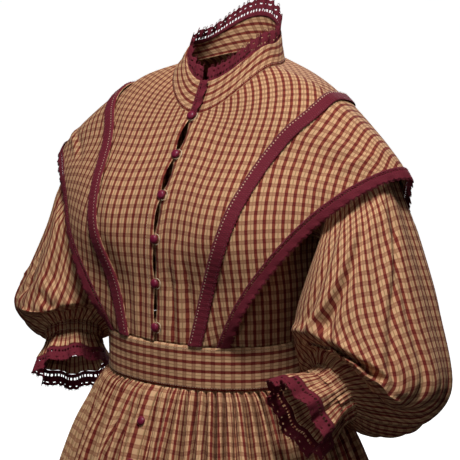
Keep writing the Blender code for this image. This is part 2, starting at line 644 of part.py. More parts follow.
def button(name, place, out):
    """A covered button: a dome over a short straight side, turned round its own axis."""
    sides = BUTTON_SIDES
    out = out / np.linalg.norm(out)
    across = np.cross(out, [1.0, 0.0, 0.0])
    across /= np.linalg.norm(across)
    other = np.cross(out, across)
    profile = [(BUTTON_RADIUS * BUTTON_FOOT, 0.0), (BUTTON_RADIUS, BUTTON_RIM)]
    for i in range(1, BUTTON_STEPS):
        turn = math.pi / 2 * i / BUTTON_STEPS
        high = BUTTON_RIM + (BUTTON_HIGH - BUTTON_RIM) * math.sin(turn)
        profile.append((BUTTON_RADIUS * math.cos(turn), high))
    points, faces = [], []
    for radius, high in profile:
        for i in range(sides):
            turn = 2 * math.pi * i / sides
            points.append(place + out * high + (across * math.cos(turn) + other * math.sin(turn)) * radius)
    points.append(place + out * BUTTON_HIGH)
    faces.append(list(range(sides)))
    for ring in range(len(profile) - 1):
        for i in range(sides):
            j = (i + 1) % sides
            faces.append([ring * sides + i, ring * sides + j, (ring + 1) * sides + j, (ring + 1) * sides + i])
    top = (len(profile) - 1) * sides
    for i in range(sides):
        faces.append([top + i, top + (i + 1) % sides, len(points) - 1])
    add_mesh(name, points, faces, WINE_SATIN)


def lap_line():
    """The middle of the right front's outer face, from the neck down to the waist."""
    sides = np.array([[torso(ring, angle_at(ring, x)) for x in (LAP, -LAP)] for ring in PANEL_RINGS])
    out = normals(sides[:, ::-1], False).mean(axis=1)
    return (sides.mean(axis=1) + out * (CLOTH + GAP + SKIN))[::-1]


def buttons():
    line = lap_line()
    length = np.concatenate([[0], np.cumsum(np.linalg.norm(np.diff(line, axis=0), axis=1))])
    reaches = [FIRST_BUTTON + i * BUTTON_PITCH for i in range(BODICE_BUTTONS)]
    for i, reach in enumerate(reaches):
        above, below = (np.array([np.interp(reach + step, length, line[:, k]) for k in range(3)])
                        for step in (-BUTTON_RADIUS / 2, BUTTON_RADIUS / 2))
        out = np.cross([1.0, 0.0, 0.0], above - below)
        button("button_%d" % (i + 1), (above + below) / 2 + out / np.linalg.norm(out) * BUTTON_ROOM, out)
    rows = np.array([spline(SKIRT["rows"], place) for place in SKIRT_PLACES])
    for i, z in enumerate(SKIRT_BUTTON_Z):
        ends = [np.array([0, np.interp(-h, -rows[:, 0], rows[:, 2]), h])
                for h in (z + BUTTON_RADIUS, z - BUTTON_RADIUS)]
        out = np.cross([1.0, 0.0, 0.0], ends[0] - ends[1])
        out /= np.linalg.norm(out)
        lift = np.array([0, -(SKIRT_WALL + GAP + SKIN), 0])
        button("skirt_button_%d" % (i + 1), (ends[0] + ends[1]) / 2 + lift + out * BUTTON_ROOM, out)


def build():
    for old in list(bpy.data.objects):
        bpy.data.objects.remove(old, do_unlink=True)
    bodice()
    overlays()
    sleeves()
    waistband()
    skirt()
    collar()
    buttons()


build()
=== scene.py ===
import math

import bpy
import numpy as np
from mathutils import Matrix, Vector


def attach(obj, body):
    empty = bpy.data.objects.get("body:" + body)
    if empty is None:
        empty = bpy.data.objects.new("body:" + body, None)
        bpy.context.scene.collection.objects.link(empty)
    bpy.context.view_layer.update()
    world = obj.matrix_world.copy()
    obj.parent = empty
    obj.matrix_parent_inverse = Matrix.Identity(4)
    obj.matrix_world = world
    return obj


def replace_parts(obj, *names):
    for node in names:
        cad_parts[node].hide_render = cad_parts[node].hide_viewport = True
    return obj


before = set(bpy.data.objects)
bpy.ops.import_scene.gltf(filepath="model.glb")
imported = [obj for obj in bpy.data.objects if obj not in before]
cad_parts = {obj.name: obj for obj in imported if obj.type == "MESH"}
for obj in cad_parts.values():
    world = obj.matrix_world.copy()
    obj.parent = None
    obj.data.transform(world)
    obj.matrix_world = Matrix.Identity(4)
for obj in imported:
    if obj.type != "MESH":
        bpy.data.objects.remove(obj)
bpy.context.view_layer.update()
print("frame loaded,", len(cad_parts), "solids")

# Everything below is in centimetres: z up from the top of the waistband, y from the middle of the waist.
# The front faces -y and the wearer's left is +x. toMetres moves it into the frame.
shoulderPoint = np.array([0.0, -4.0, -33.0])


def toMetres(points):
    return (np.asarray(points) + shoulderPoint) * 0.01


def splineAt(rows, places):
    places = np.asarray(places, float)
    start = np.clip(np.floor(places).astype(int), 0, len(rows) - 2)
    f = (places - start).reshape(places.shape + (1,) * (rows.ndim - 1))
    before, here = rows[np.maximum(start - 1, 0)], rows[start]
    there, after = rows[start + 1], rows[np.minimum(start + 2, len(rows) - 1)]
    return 0.5 * (2 * here + (there - before) * f + (2 * before - 5 * here + 4 * there - after) * f * f
                  + (3 * here - before - 3 * there + after) * f ** 3)


def smooth(value, low, high):
    f = np.clip((np.asarray(value, float) - low) / (high - low), 0, 1)
    return f * f * (3 - 2 * f)


def unit(vectors):
    return vectors / np.maximum(np.linalg.norm(vectors, axis=-1, keepdims=True), 1e-9)


def lengths(points, axis):
    # running length along a grid, starting at 0
    steps = np.linalg.norm(np.diff(points, axis=axis), axis=-1)
    return np.insert(np.cumsum(steps, axis=axis), 0, 0, axis=axis)


def outOf(grid, closed=False):
    if closed:
        across = np.roll(grid, -1, axis=1) - np.roll(grid, 1, axis=1)
    else:
        across = np.gradient(grid, axis=1)
    return unit(np.cross(across, np.gradient(grid, axis=0)))


def mirrored(grid):
    other = grid[:, ::-1].copy()
    if grid.shape[-1] == 3:
        other[..., 0] *= -1
    return other


def creased(u, v, rows):
    # soft ridges and troughs from one point of the cloth to another: u v endU endV width deep
    total = np.zeros(np.broadcast(u, v).shape)
    for u0, v0, u1, v1, width, deep in rows:
        du, dv = u1 - u0, v1 - v0
        f = np.clip(((u - u0) * du + (v - v0) * dv) / (du * du + dv * dv), 0, 1)
        off = np.hypot(u - u0 - f * du, v - v0 - f * dv)
        total = total + deep * np.exp(-(off / width) ** 2) * (4 * f * (1 - f)) ** 0.45
    return total


def ripple(phase):
    # round on top with a narrow valley, from -1 to 1
    return 2 * np.abs(np.cos(phase / 2)) ** 0.85 - 1


def newGroup(name, inputs, outputs):
    group = bpy.data.node_groups.new(name, "ShaderNodeTree")
    kinds = {"vector": "NodeSocketVector", "value": "NodeSocketFloat", "colour": "NodeSocketColor"}
    for label, kind, value in inputs:
        socket = group.interface.new_socket(name=label, in_out="INPUT", socket_type=kinds[kind])
        if value is not None:
            socket.default_value = value
    for label, kind in outputs:
        group.interface.new_socket(name=label, in_out="OUTPUT", socket_type=kinds[kind])
    takes, gives = group.nodes.new("NodeGroupInput").outputs, group.nodes.new("NodeGroupOutput").inputs
    return group, {label: Wire(group, takes[label]) for label, kind, value in inputs}, gives


class Wire:
    # a socket that plain arithmetic works on, with a math node for each step
    def __init__(self, tree, socket):
        self.tree, self.socket = tree, socket

    def calc(self, operation, *values):
        node = self.tree.nodes.new("ShaderNodeMath")
        node.operation = operation
        for socket, value in zip(node.inputs, values):
            feed(self.tree, socket, value)
        return Wire(self.tree, node.outputs[0])

    def of(self, operation):
        return self.calc(operation, self)

    def __add__(self, other):
        return self.calc("ADD", self, other)

    def __sub__(self, other):
        return self.calc("SUBTRACT", self, other)

    def __rsub__(self, other):
        return self.calc("SUBTRACT", other, self)

    def __mul__(self, other):
        return self.calc("MULTIPLY", self, other)

    def __truediv__(self, other):
        return self.calc("DIVIDE", self, other)

    def step(self, low, high, toLow=0.0, toHigh=1.0):
        node = self.tree.nodes.new("ShaderNodeMapRange")
        node.interpolation_type = "SMOOTHSTEP"
        for name, given in zip(("Value", "From Min", "From Max", "To Min", "To Max"), (self, low, high, toLow, toHigh)):
            feed(self.tree, node.inputs[name], given)
        return Wire(self.tree, node.outputs["Result"])


def feed(tree, socket, value):
    if isinstance(value, (int, float, tuple)):
        socket.default_value = value
    else:
        tree.links.new(value.socket, socket)


def mixColour(tree, factor, first, second, blend="MIX"):
    node = tree.nodes.new("ShaderNodeMix")
    node.data_type = "RGBA"
    node.blend_type = blend
    for i, value in ((0, factor), (6, first), (7, second)):
        feed(tree, node.inputs[i], value)
    return Wire(tree, node.outputs[2])


def speckle(place, scale, stretch=(1.0, 1.0, 1.0), detail=2.0):
    mapping = place.tree.nodes.new("ShaderNodeMapping")
    mapping.inputs["Scale"].default_value = stretch
    feed(place.tree, mapping.inputs["Vector"], place)
    noise = place.tree.nodes.new("ShaderNodeTexNoise")
    noise.inputs["Scale"].default_value = scale
    noise.inputs["Detail"].default_value = detail
    place.tree.links.new(mapping.outputs[0], noise.inputs["Vector"])
    return Wire(place.tree, noise.outputs["Fac"])


def split(place):
    node = place.tree.nodes.new("ShaderNodeSeparateXYZ")
    feed(place.tree, node.inputs[0], place)
    return Wire(place.tree, node.outputs[0]), Wire(place.tree, node.outputs[1])


surfaceOutputs = [("Colour", "colour"), ("Height", "value"), ("Roughness", "value")]

checkValues = {
    "stripeRepeat": 1.05, "stripeWide": 0.39, "lineWide": 0.13,       # cm, across the cloth
    "bandRepeat": 1.22, "bandWide": 0.55, "fineLine": 0.05,           # cm, along it
    "ground": (0.590, 0.352, 0.192), "olive": (0.290, 0.162, 0.064),
    "band": (0.300, 0.118, 0.060), "stripe": (0.215, 0.036, 0.018), "crossing": (0.125, 0.005, 0.004),
    "thread": 0.045, "wobble": 0.035,
}
# the lace's lit and dark colours: painted light on its raised threads and painted shade between them
laceValues = {"dark": (0.030, 0.001, 0.004), "lit": (0.195, 0.006, 0.024), "thread": 0.06, "repeat": 0.8}
# the satin's lit and dark colours: streaks of the lit colour along the floats are painted sheen
satinValues = {"dark": (0.085, 0.003, 0.016), "lit": (0.230, 0.012, 0.048)}


def checkWeave():
    look = checkValues
    group, given, gives = newGroup("checkWeave", [
        ("Place", "vector", None), ("Stripe Repeat", "value", look["stripeRepeat"]),
        ("Band Repeat", "value", look["bandRepeat"]), ("Ground", "colour", look["ground"] + (1,)),
        ("Middle Line", "colour", look["olive"] + (1,)), ("Band", "colour", look["band"] + (1,)),
        ("Stripe", "colour", look["stripe"] + (1,)), ("Crossing", "colour", look["crossing"] + (1,)),
    ], surfaceOutputs)
    place = given["Place"]
    u, v = split(place)
    stray = (speckle(place, 0.9) - 0.5) * (look["wobble"] * 4)
    drift = (speckle(place, 1.3) - 0.5) * (look["wobble"] * 4)
    offStripe = (((u + stray) / given["Stripe Repeat"]).of("FRACT") - 0.5).of("ABSOLUTE")
    offBand = (((v + drift) / given["Band Repeat"]).of("FRACT") - 0.5).of("ABSOLUTE")
    # halves of the widths, as shares of a repeat, with soft edges a thread or two wide
    stripeHalf = look["stripeWide"] / look["stripeRepeat"] / 2
    lineFrom = 0.5 - look["lineWide"] / look["stripeRepeat"] / 2
    bandHalf = look["bandWide"] / look["bandRepeat"] / 2
    fineHalf = look["fineLine"] / look["bandRepeat"] / 2
    onStripe = offStripe.step(stripeHalf - 0.015, stripeHalf + 0.015, 1.0, 0.0)
    onLine = offStripe.step(lineFrom - 0.02, lineFrom + 0.02)
    onBand = (offBand.step(bandHalf - 0.02, bandHalf + 0.02, 1.0, 0.0)
              - offBand.step(fineHalf - 0.01, fineHalf + 0.02, 0.35, 0.0))
    colour = mixColour(group, onLine * 0.75, given["Ground"], given["Middle Line"])
    colour = mixColour(group, onBand * 0.8, colour, given["Band"])
    colour = mixColour(group, onStripe, colour, mixColour(group, onBand, given["Stripe"], given["Crossing"]))
    # plain weave: the warp lies on top in one square, the weft in the next
    turn = math.pi / look["thread"]
    onTop = ((u * turn).of("SINE") * (v * turn).of("SINE")).step(-0.3, 0.3)
    height = (u * (2 * turn)).of("SINE") * onTop + (v * (2 * turn)).of("SINE") * (1.0 - onTop)
    yarnsAcross = speckle(place, 1.0, (16.0, 0.7, 1.0))
    yarnsAlong = speckle(place, 1.0, (0.7, 16.0, 1.0))
    worn = speckle(place, 0.22, detail=4.0)
    # the tone is random yarn and mottle variation, and the weave's height makes the yarns' crowns a little lighter and
    # their dips a little darker: painted shade at the scale of the threads
    tone = yarnsAcross * 0.16 + yarnsAlong * 0.16 + worn * 0.22 + height * 0.045 + 0.73
    shade = group.nodes.new("ShaderNodeCombineColor")
    for i in range(3):
        feed(group, shade.inputs[i], tone)
    feed(group, gives["Colour"], mixColour(group, 1.0, colour, Wire(group, shade.outputs[0]), "MULTIPLY"))
    feed(group, gives["Height"], height * 0.35 + yarnsAcross * 0.9)
    feed(group, gives["Roughness"], yarnsAlong * 0.22 + 0.72)
    return group


def laceWork():
    look = laceValues
    group, given, gives = newGroup("laceWork", [
        ("Place", "vector", None), ("Dark", "colour", look["dark"] + (1,)), ("Lit", "colour", look["lit"] + (1,)),
        ("Repeat", "value", look["repeat"]),
    ], surfaceOutputs)
    u, v = split(given["Place"])
    turn = math.pi / look["thread"]
    ways = [(slant * turn).of("SINE").of("ABSOLUTE") for slant in (u + v, u - v)]
    net = ways[0].calc("MAXIMUM", *ways)
    # a small figure in each repeat
    petal = (((u / given["Repeat"]).of("FRACT") - 0.5) * (6 * math.pi)).of("SINE")
    figure = ((v * (2 * math.pi / look["repeat"])).of("SINE") * petal).step(-0.2, 0.5)
    grain = speckle(given["Place"], 9.0)
    # raised net threads and the figure get the lit colour and the sunk parts the dark one, as painted light and painted
    # shade; the grain adds random tone, and the same mix is the height
    amount = net * 0.40 + figure * 0.30 + grain * 0.45
    feed(group, gives["Colour"], mixColour(group, amount * 0.9, given["Dark"], given["Lit"]))
    feed(group, gives["Height"], amount)
    feed(group, gives["Roughness"], grain * 0.3 + 0.62)
    return group


def satinFace():
    look = satinValues
    group, given, gives = newGroup("satinFace", [
        ("Place", "vector", None), ("Dark", "colour", look["dark"] + (1,)), ("Lit", "colour", look["lit"] + (1,)),
    ], surfaceOutputs)
    floats = speckle(given["Place"], 40.0, (1.0, 9.0, 1.0))
    mottled = speckle(given["Place"], 6.0)
    # the floats are streaked with the lit colour as painted sheen; the mottling is random tone
    feed(group, gives["Colour"], mixColour(group, floats * 0.5 + mottled * 0.4, given["Dark"], given["Lit"]))
    feed(group, gives["Height"], floats)
    feed(group, gives["Roughness"], floats * 0.25 + 0.26)
    return group


def clothFinish(name, group, bump, distance, sheen=0.0, sheenRough=0.5, tint=(1, 1, 1, 1), changes=()):
    made = bpy.data.materials.new(name)
    made.use_nodes = True
    tree = made.node_tree
    shader = tree.nodes["Principled BSDF"]
    for label, value in (("Sheen Weight", sheen), ("Sheen Roughness", sheenRough), ("Sheen Tint", tint),
                         ("Specular IOR Level", 0.35)):
        shader.inputs[label].default_value = value
    place = tree.nodes.new("ShaderNodeUVMap")
    place.uv_map = "cloth"
    use = tree.nodes.new("ShaderNodeGroup")
    use.node_tree = group
    tree.links.new(place.outputs[0], use.inputs["Place"])
    for label, value in changes:
        use.inputs[label].default_value = value
    relief = tree.nodes.new("ShaderNodeBump")
    relief.inputs["Strength"].default_value = bump
    relief.inputs["Distance"].default_value = distance
    tree.links.new(use.outputs["Colour"], shader.inputs["Base Color"])
    tree.links.new(use.outputs["Roughness"], shader.inputs["Roughness"])
    tree.links.new(use.outputs["Height"], relief.inputs["Height"])
    tree.links.new(relief.outputs[0], shader.inputs["Normal"])
    return made


weave, net, sateen = checkWeave(), laceWork(), satinFace()
# the cream thread's dark and lit colours are mixed in streaks by the satin group: painted sheen
creamThread = clothFinish("creamThread", sateen, 0.5, 0.0002, sheen=0.2,
                          changes=(("Dark", (0.42, 0.30, 0.19, 1)), ("Lit", (0.70, 0.55, 0.38, 1))))
# each finish with the record's slot
cotton = (clothFinish("checkedCotton", weave, 0.5, 0.0004, 0.04, 0.4, (1.0, 0.8, 0.6, 1)), "checked_cotton")
lace = (clothFinish("wineLace", net, 0.8, 0.0006, 0.06, 0.4, (1.0, 0.3, 0.4, 1)), "wine_lace")
satin = (clothFinish("wineSatin", sateen, 0.3, 0.0002, 0.12, 0.3, (1.0, 0.4, 0.5, 1)), "wine_satin")
creamSewing, creamOnLace = (creamThread, "checked_cotton"), (creamThread, "wine_lace")
# the wine thread keeps the satin group's lit and dark colours: painted sheen
wineSewing = (clothFinish("wineThread", sateen, 0.5, 0.0002, sheen=0.2), "wine_lace")
print("finishes made")


def makeMesh(name, points, faces, corners, finish):
    mesh = bpy.data.meshes.new(name)
    mesh.from_pydata(toMetres(points).tolist(), [], faces)
    layer = mesh.uv_layers.new(name="cloth")
    layer.data.foreach_set("uv", np.asarray(corners, np.float32).ravel())
    mesh.materials.append(finish[0])
    mesh.shade_smooth()
    piece = bpy.data.objects.new(name, mesh)
    bpy.context.collection.objects.link(piece)
    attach(piece, "root")
    return piece


def makeSheet(name, node, grid, place, held, restsOn, finish=cotton, thick=0.08, closed=False, keep=None,
              middle=False, fuller=1.0):
    # an open or closed grid of points as a thin wall; place holds the cloth's own centimetres at each point
    rows, columns = grid.shape[:2]
    r, c = np.mgrid[0:rows - 1, 0:(columns if closed else columns - 1)]
    d = (c + 1) % columns
    quads = np.stack([r * columns + c, r * columns + d, (r + 1) * columns + d, (r + 1) * columns + c], -1)
    corners = np.stack([place[r, c], place[r, c + 1], place[r + 1, c + 1], place[r + 1, c]], -2)
    if keep is not None:
        quads, corners = quads[keep], corners[keep]
    used, flat = np.unique(quads.reshape(-1), return_inverse=True)
    faces = flat.reshape(-1, 4).tolist()
    piece = makeMesh(name, grid.reshape(-1, 3)[used], faces, corners.reshape(-1, 2), finish)
    solid = piece.modifiers.new("thickness", "SOLIDIFY")
    solid.thickness = thick * 0.01
    solid.offset = 0.0 if middle else -1.0
    if node:
        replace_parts(piece, node)
    # the flat size that it was cut to, from its own lengths; fuller is for gathers finer than the grid
    whole = np.concatenate([grid, grid[:, :1]], axis=1) if closed else grid
    wide = lengths(whole, 1)[:, -1].max() * fuller / 100
    long = lengths(whole, 0)[-1].max() / 100
    one = np.cross(whole[1:, 1:] - whole[:-1, :-1], whole[1:, :-1] - whole[:-1, 1:])
    area = min(np.linalg.norm(one, axis=-1).sum() / 2 / 1e4 * fuller, wide * long)
    print("  %s: %.1f x %.1f cm, %.0f cm2" % (name, wide * 100, long * 100, area * 1e4))


def tubesAlong(paths, radius, sides=5):
    # round threads through the points of each path, joined into one set of points and faces
    points, faces = [], []
    for path, shut in paths:
        path = np.asarray(path)
        along = np.roll(path, -1, 0) - np.roll(path, 1, 0) if shut else np.gradient(path, axis=0)
        along = unit(along)
        side = unit(np.cross(along, [0.31, 0.17, 0.93]))
        other = np.cross(along, side)
        first = len(points)
        for i in range(len(path)):
            for k in range(sides):
                turn = 2 * math.pi * k / sides
                points.append(path[i] + (side[i] * math.cos(turn) + other[i] * math.sin(turn)) * radius)
        for i in range(len(path) if shut else len(path) - 1):
            j = (i + 1) % len(path)
            for k in range(sides):
                m = (k + 1) % sides
                faces.append([first + row * sides + at for row, at in ((i, k), (i, m), (j, m), (j, k))])
        if not shut:
            faces.append([first + k for k in reversed(range(sides))])
            faces.append([first + (len(path) - 1) * sides + k for k in range(sides)])
    return points, faces


def threads(name, paths, radius, finish=creamSewing, sides=4):
    points, faces = tubesAlong(paths, radius, sides)
    corners = [[0.1 * k, 0.07 * i] for i, face in enumerate(faces) for k in range(len(face))]
    makeMesh(name, points, faces, corners, finish)


def stitches(line, out, pitch=0.34, length=0.22, proud=0.02):
    # short threads along a line of points, a little above the cloth
    run = lengths(line, 0)
    paths = []
    for start in np.arange(pitch / 2, run[-1] - length, pitch):
        reach = start + length * np.array([0.0, 0.25, 0.75, 1.0])
        spots = np.stack([np.interp(reach, run, line[:, k]) for k in range(3)], 1)
        facing = np.stack([np.interp(reach, run, out[:, k]) for k in range(3)], 1)
        paths.append((spots + facing * (proud * np.array([[-1.2], [1.0], [1.0], [-1.2]])), False))
    return paths


def picots(edge, inside, spots, low, size, count=8, closed=False):
    # small loops of thread that hang past an edge, at the given places along it
    drop = unit(edge - inside)
    way = unit(np.roll(edge, -1, 0) - np.roll(edge, 1, 0) if closed else np.gradient(edge, axis=0))
    turns = (np.arange(count) * 2 * math.pi / count)[:, None]
    return [(edge[i] + drop[i] * (low + np.cos(turns) * size[0]) + way[i] * np.sin(turns) * size[1], True)
            for i in spots]


def seamRound(grid, row, **sewing):
    outs = outOf(grid, True)
    return stitches(np.vstack([grid[row], grid[row, :1]]), np.vstack([outs[row], outs[row, :1]]), **sewing)


def onSide(paths, side):
    flip = np.array([-1 if side == "right" else 1, 1, 1])
    return [(path * flip, shut) for path, shut in paths]


bodiceValues = {
    "gap": 0.03, "room": 0.34, "armholeFront": 29.0, "armholeBack": 25.0,
    # cm: the left front's lap, the right front's edge, how far it gapes, and how it lies on the left one
    "lap": 0.9, "edge": 0.04, "gape": 0.42, "lapLift": 0.172, "lapFlat": 1.4, "lapFade": 4.0,
    "bust": {"x": 9.5, "z": 14.0, "out": 1.35, "xSpread": 5.5, "zSpread": 6.5},
    # rings from the waist to the neck: frontZ sideZ backZ halfWidth frontY sideY backY square
    "rings": np.array([
        (0.0, 0.0, 0.0, 13.25, -10.15, 0.2, 10.1, 0.92), (6.5, 6.5, 6.5, 14.3, -10.0, 0.9, 11.2, 0.85),
        (12.6, 12.8, 13.5, 15.9, -10.1, 1.8, 12.5, 0.76), (18.0, 19.0, 20.0, 16.9, -8.6, 3.0, 13.2, 0.74),
        (22.7, 24.8, 26.0, 17.5, -5.8, 3.8, 13.0, 0.85), (25.2, 28.0, 30.2, 17.4, -4.2, 4.0, 12.3, 0.92),
        (26.4, 31.1, 32.8, 13.2, -3.3, 4.2, 11.6, 1.0), (27.2, 33.0, 34.4, 7.2, -2.7, 4.4, 11.0, 1.0)]),
    # tucks and pulls, from one point to another in cm from the middle and up from the waist, then width and depth
    "leftCreases": [
        (2.6, -1.0, 2.0, 9.5, 0.32, -0.48), (3.6, -1.0, 3.2, 13.0, 0.5, 0.36), (4.8, -1.0, 4.7, 10.5, 0.34, -0.48),
        (6.2, -1.0, 6.4, 8.0, 0.45, 0.12), (1.0, 12.0, 6.5, 15.5, 0.6, -0.07), (1.0, 6.6, 4.0, 8.0, 0.5, -0.08)],
    "rightCreases": [
        (2.6, -1.0, 2.2, 7.5, 0.42, -0.16), (3.6, -1.0, 3.2, 10.0, 0.5, 0.17), (4.9, -1.0, 4.7, 8.5, 0.4, -0.15),
        (1.2, 17.5, 7.0, 19.5, 0.7, -0.06), (1.0, 11.5, 5.0, 13.5, 0.6, -0.07)],
    "backCreases": [
        (-4.5, -1.0, -5.0, 9.0, 0.5, -0.2), (-3.4, -1.0, -3.6, 7.0, 0.5, 0.15), (4.4, -1.0, 4.8, 10.0, 0.5, -0.2),
        (3.3, -1.0, 3.4, 7.5, 0.5, 0.15), (-9.0, 4.0, -3.0, 5.2, 0.7, -0.08), (2.0, 8.0, 9.0, 6.5, 0.7, -0.08)],
}


def ringPoint(row, angle):
    frontZ, sideZ, backZ, halfWidth, frontY, sideY, backY, square = np.moveaxis(np.asarray(row), -1, 0)
    across, along = np.sin(np.radians(angle)), np.cos(np.radians(angle))
    endY, endZ = np.where(along >= 0, frontY, backY), np.where(along >= 0, frontZ, backZ)
    reach = np.abs(along)
    return np.stack([halfWidth * np.sign(across) * np.abs(across) ** square,
                     sideY + (endY - sideY) * reach ** square, sideZ + (endZ - sideZ) * reach * reach], -1)


def torso(ring, angle):
    ring, angle = np.broadcast_arrays(np.asarray(ring, float), np.asarray(angle, float))
    point = ringPoint(splineAt(bodiceValues["rings"], ring), angle)
    bust = bodiceValues["bust"]
    offX = (np.abs(point[..., 0]) - bust["x"]) / bust["xSpread"]
    offZ = (point[..., 2] - bust["z"]) / bust["zSpread"]
    ahead = smooth(np.cos(np.radians(angle)), 0.0, 0.5)
    point[..., 1] -= bust["out"] * np.exp(-offX ** 2 - offZ ** 2) * ahead
    return point


def angleAt(ring, x):
    row = splineAt(bodiceValues["rings"], ring)
    return np.degrees(np.arcsin((x / row[..., 3]) ** (1 / row[..., 7])))


def armholeAngle(ring, front):
    ring = np.asarray(ring, float)
    down = np.clip((ring - 2) / 3, 0, 1)
    curveIn = bodiceValues["armholeFront" if front else "armholeBack"]
    turn = curveIn * np.maximum(np.sin(math.pi * down), 0) ** 0.6
    return 90 - turn if front else 90 + turn


def tuckedUnder(points, clearance, strength=1.0):
    # pushed in where they would stand through the shoulder overlay that lies on them
    marks, out, edge = overlayMarks
    flatMarks, flatOut, flatEdge = marks.reshape(-1, 3), out.reshape(-1, 3), edge.reshape(-1)
    result = points.copy()
    for row in result:
        near = np.argmin(((row[:, None, :] - flatMarks[None]) ** 2).sum(-1), 1)
        off = row - flatMarks[near]
        above = (off * flatOut[near]).sum(-1)
        beside = np.linalg.norm(off - flatOut[near] * above[:, None], axis=-1)
        push = np.maximum(above + clearance, 0)
        push = np.where(flatEdge[near] > 0, push * (1 - smooth(beside, 1.0, 3.4)), push)
        row -= flatOut[near] * push[:, None] * strength
    return result


overlayValues = {
    "stations": 12, "fullness": (0.58, 0.16), "clothWall": 0.13, "skin": 0.012, "laceWall": 0.12, "laid": 0.125,
    "short": 0.92,    # cm from the cloth's edge to where the solid ends
    "grain": 22.0,    # degrees between the stripes and the inner edge
    "innerEdge": np.array([(0, 18.2), (1, 22.6), (2, 27.4), (3, 31), (4, 39.6), (5, 52), (5.6, 90),
                           (5, 128), (4, 141.5), (3, 148), (2, 151), (1, 155), (0, 160.5)], float),
    "outerEdge": np.array([(9, -8, 0), (12.3, -9, 5.2), (16.1, -7.8, 10.9), (19.5, -5, 15.5), (23, -2, 18.8),
                           (25.6, 0.9, 20.6), (26.8, 3.8, 20.7), (25.2, 6.3, 18.9), (23, 9.2, 14.9), (20.6, 11.6, 11),
                           (17.2, 12.2, 7.4), (13.5, 10.6, 3.6), (10.4, 7.4, 0)], float),
    # cm along from the shoulder seam to the front, cm out from the inner edge
    "creases": [
        (-3.0, 9.6, -12.0, 6.6, 0.60, -0.20), (-2.0, 10.6, -10.0, 8.4, 0.6, 0.24), (-5.0, 2.6, -15.0, 3.6, 0.9, -0.10),
        (-16.0, 2.4, -26.0, 3.2, 0.5, -0.10), (4.0, 9.0, 14.0, 7.0, 0.8, -0.14), (3.0, 10.5, 10.0, 8.8, 0.7, 0.16),
        (8.0, 3.0, 20.0, 3.6, 0.9, -0.10), (18.0, 2.6, 26.0, 3.0, 0.5, -0.10)],
}
braidValues = {"width": 1.9, "deep": 0.16, "eyelet": 0.42, "scallop": 0.55, "step": 0.084}
edgingValues = {"width": 1.7, "deep": 0.24, "proud": 0.5, "ladder": 0.34, "scallop": 0.72, "step": 0.068}


def overlayPoint(station, across):
    station, across = np.broadcast_arrays(np.asarray(station, float), np.asarray(across, float))
    edge = splineAt(overlayValues["innerEdge"], station)
    ring, angle = edge[..., 0], edge[..., 1]
    start = torso(ring, angle)
    end = splineAt(overlayValues["outerEdge"], station)
    roundBody = torso(ring, angle + 1) - torso(ring, angle - 1)
    upBody = torso(np.minimum(ring + 0.02, 7), angle) - torso(np.maximum(ring - 0.02, 0), angle)
    out = unit(np.cross(roundBody, upBody))
    start = start + out * (overlayValues["clothWall"] + 0.09 + overlayValues["skin"])
    way = end - start
    along = way - out * (way * out).sum(-1, keepdims=True)
    keepOn, more = overlayValues["fullness"]
    middle = start + along * (keepOn + more * np.sin(math.pi * station / overlayValues["stations"]) ** 2)[..., None]
    u = across[..., None]
    return (1 - u) ** 2 * start + 2 * u * (1 - u) * middle + u ** 2 * end


def stationsEvery(pitch, side):
    fine = np.linspace(0, overlayValues["stations"], 601)
    run = lengths(overlayPoint(fine, side), 0)
    return np.interp(np.linspace(0, run[-1], int(run[-1] / pitch) + 1), run, fine), run[-1]


def acrossAt(stations, reaches, fromFree=False):
    # points and directions out at distances across the overlay, from its inner or its free edge
    fine = overlayPoint(stations[:, None], np.linspace(0, 1, 61)[None])
    facing = outOf(fine)
    run = lengths(fine, 1)
    reaches = np.broadcast_to(reaches, (len(stations), np.shape(reaches)[-1]))
    points, outs = np.zeros(reaches.shape + (3,)), np.zeros(reaches.shape + (3,))
    for i in range(len(stations)):
        reach = reaches[i] + (run[i, -1] if fromFree else 0)
        inside = np.clip(reach, 0, run[i, -1])
        for k in range(3):
            points[i, :, k] = np.interp(inside, run[i], fine[i, :, k])
            outs[i, :, k] = np.interp(inside, run[i], facing[i, :, k])
        points[i] += unit(fine[i, -1] - fine[i, -2]) * (reach - inside)[:, None]
    outs[[0, -1], :, 2] = 0
    return points, unit(outs)


# the overlay as marks that the bodice and the sleeves stay under
markGrid = overlayPoint(stationsEvery(0.6, 1.0)[0][:, None], np.linspace(0, 1, 26)[None])
pastEdge = markGrid[:, -1:] + unit(markGrid[:, -1:] - markGrid[:, -2:-1]) * 0.44
markGrid = np.concatenate([markGrid, pastEdge], axis=1)
markEdge = np.zeros(markGrid.shape[:2])
markEdge[:, [0, -1]] = 1
overlayMarks = (markGrid, outOf(markGrid), markEdge)


def turnFor(side):
    return mirrored if side == "right" else (lambda grid: grid)


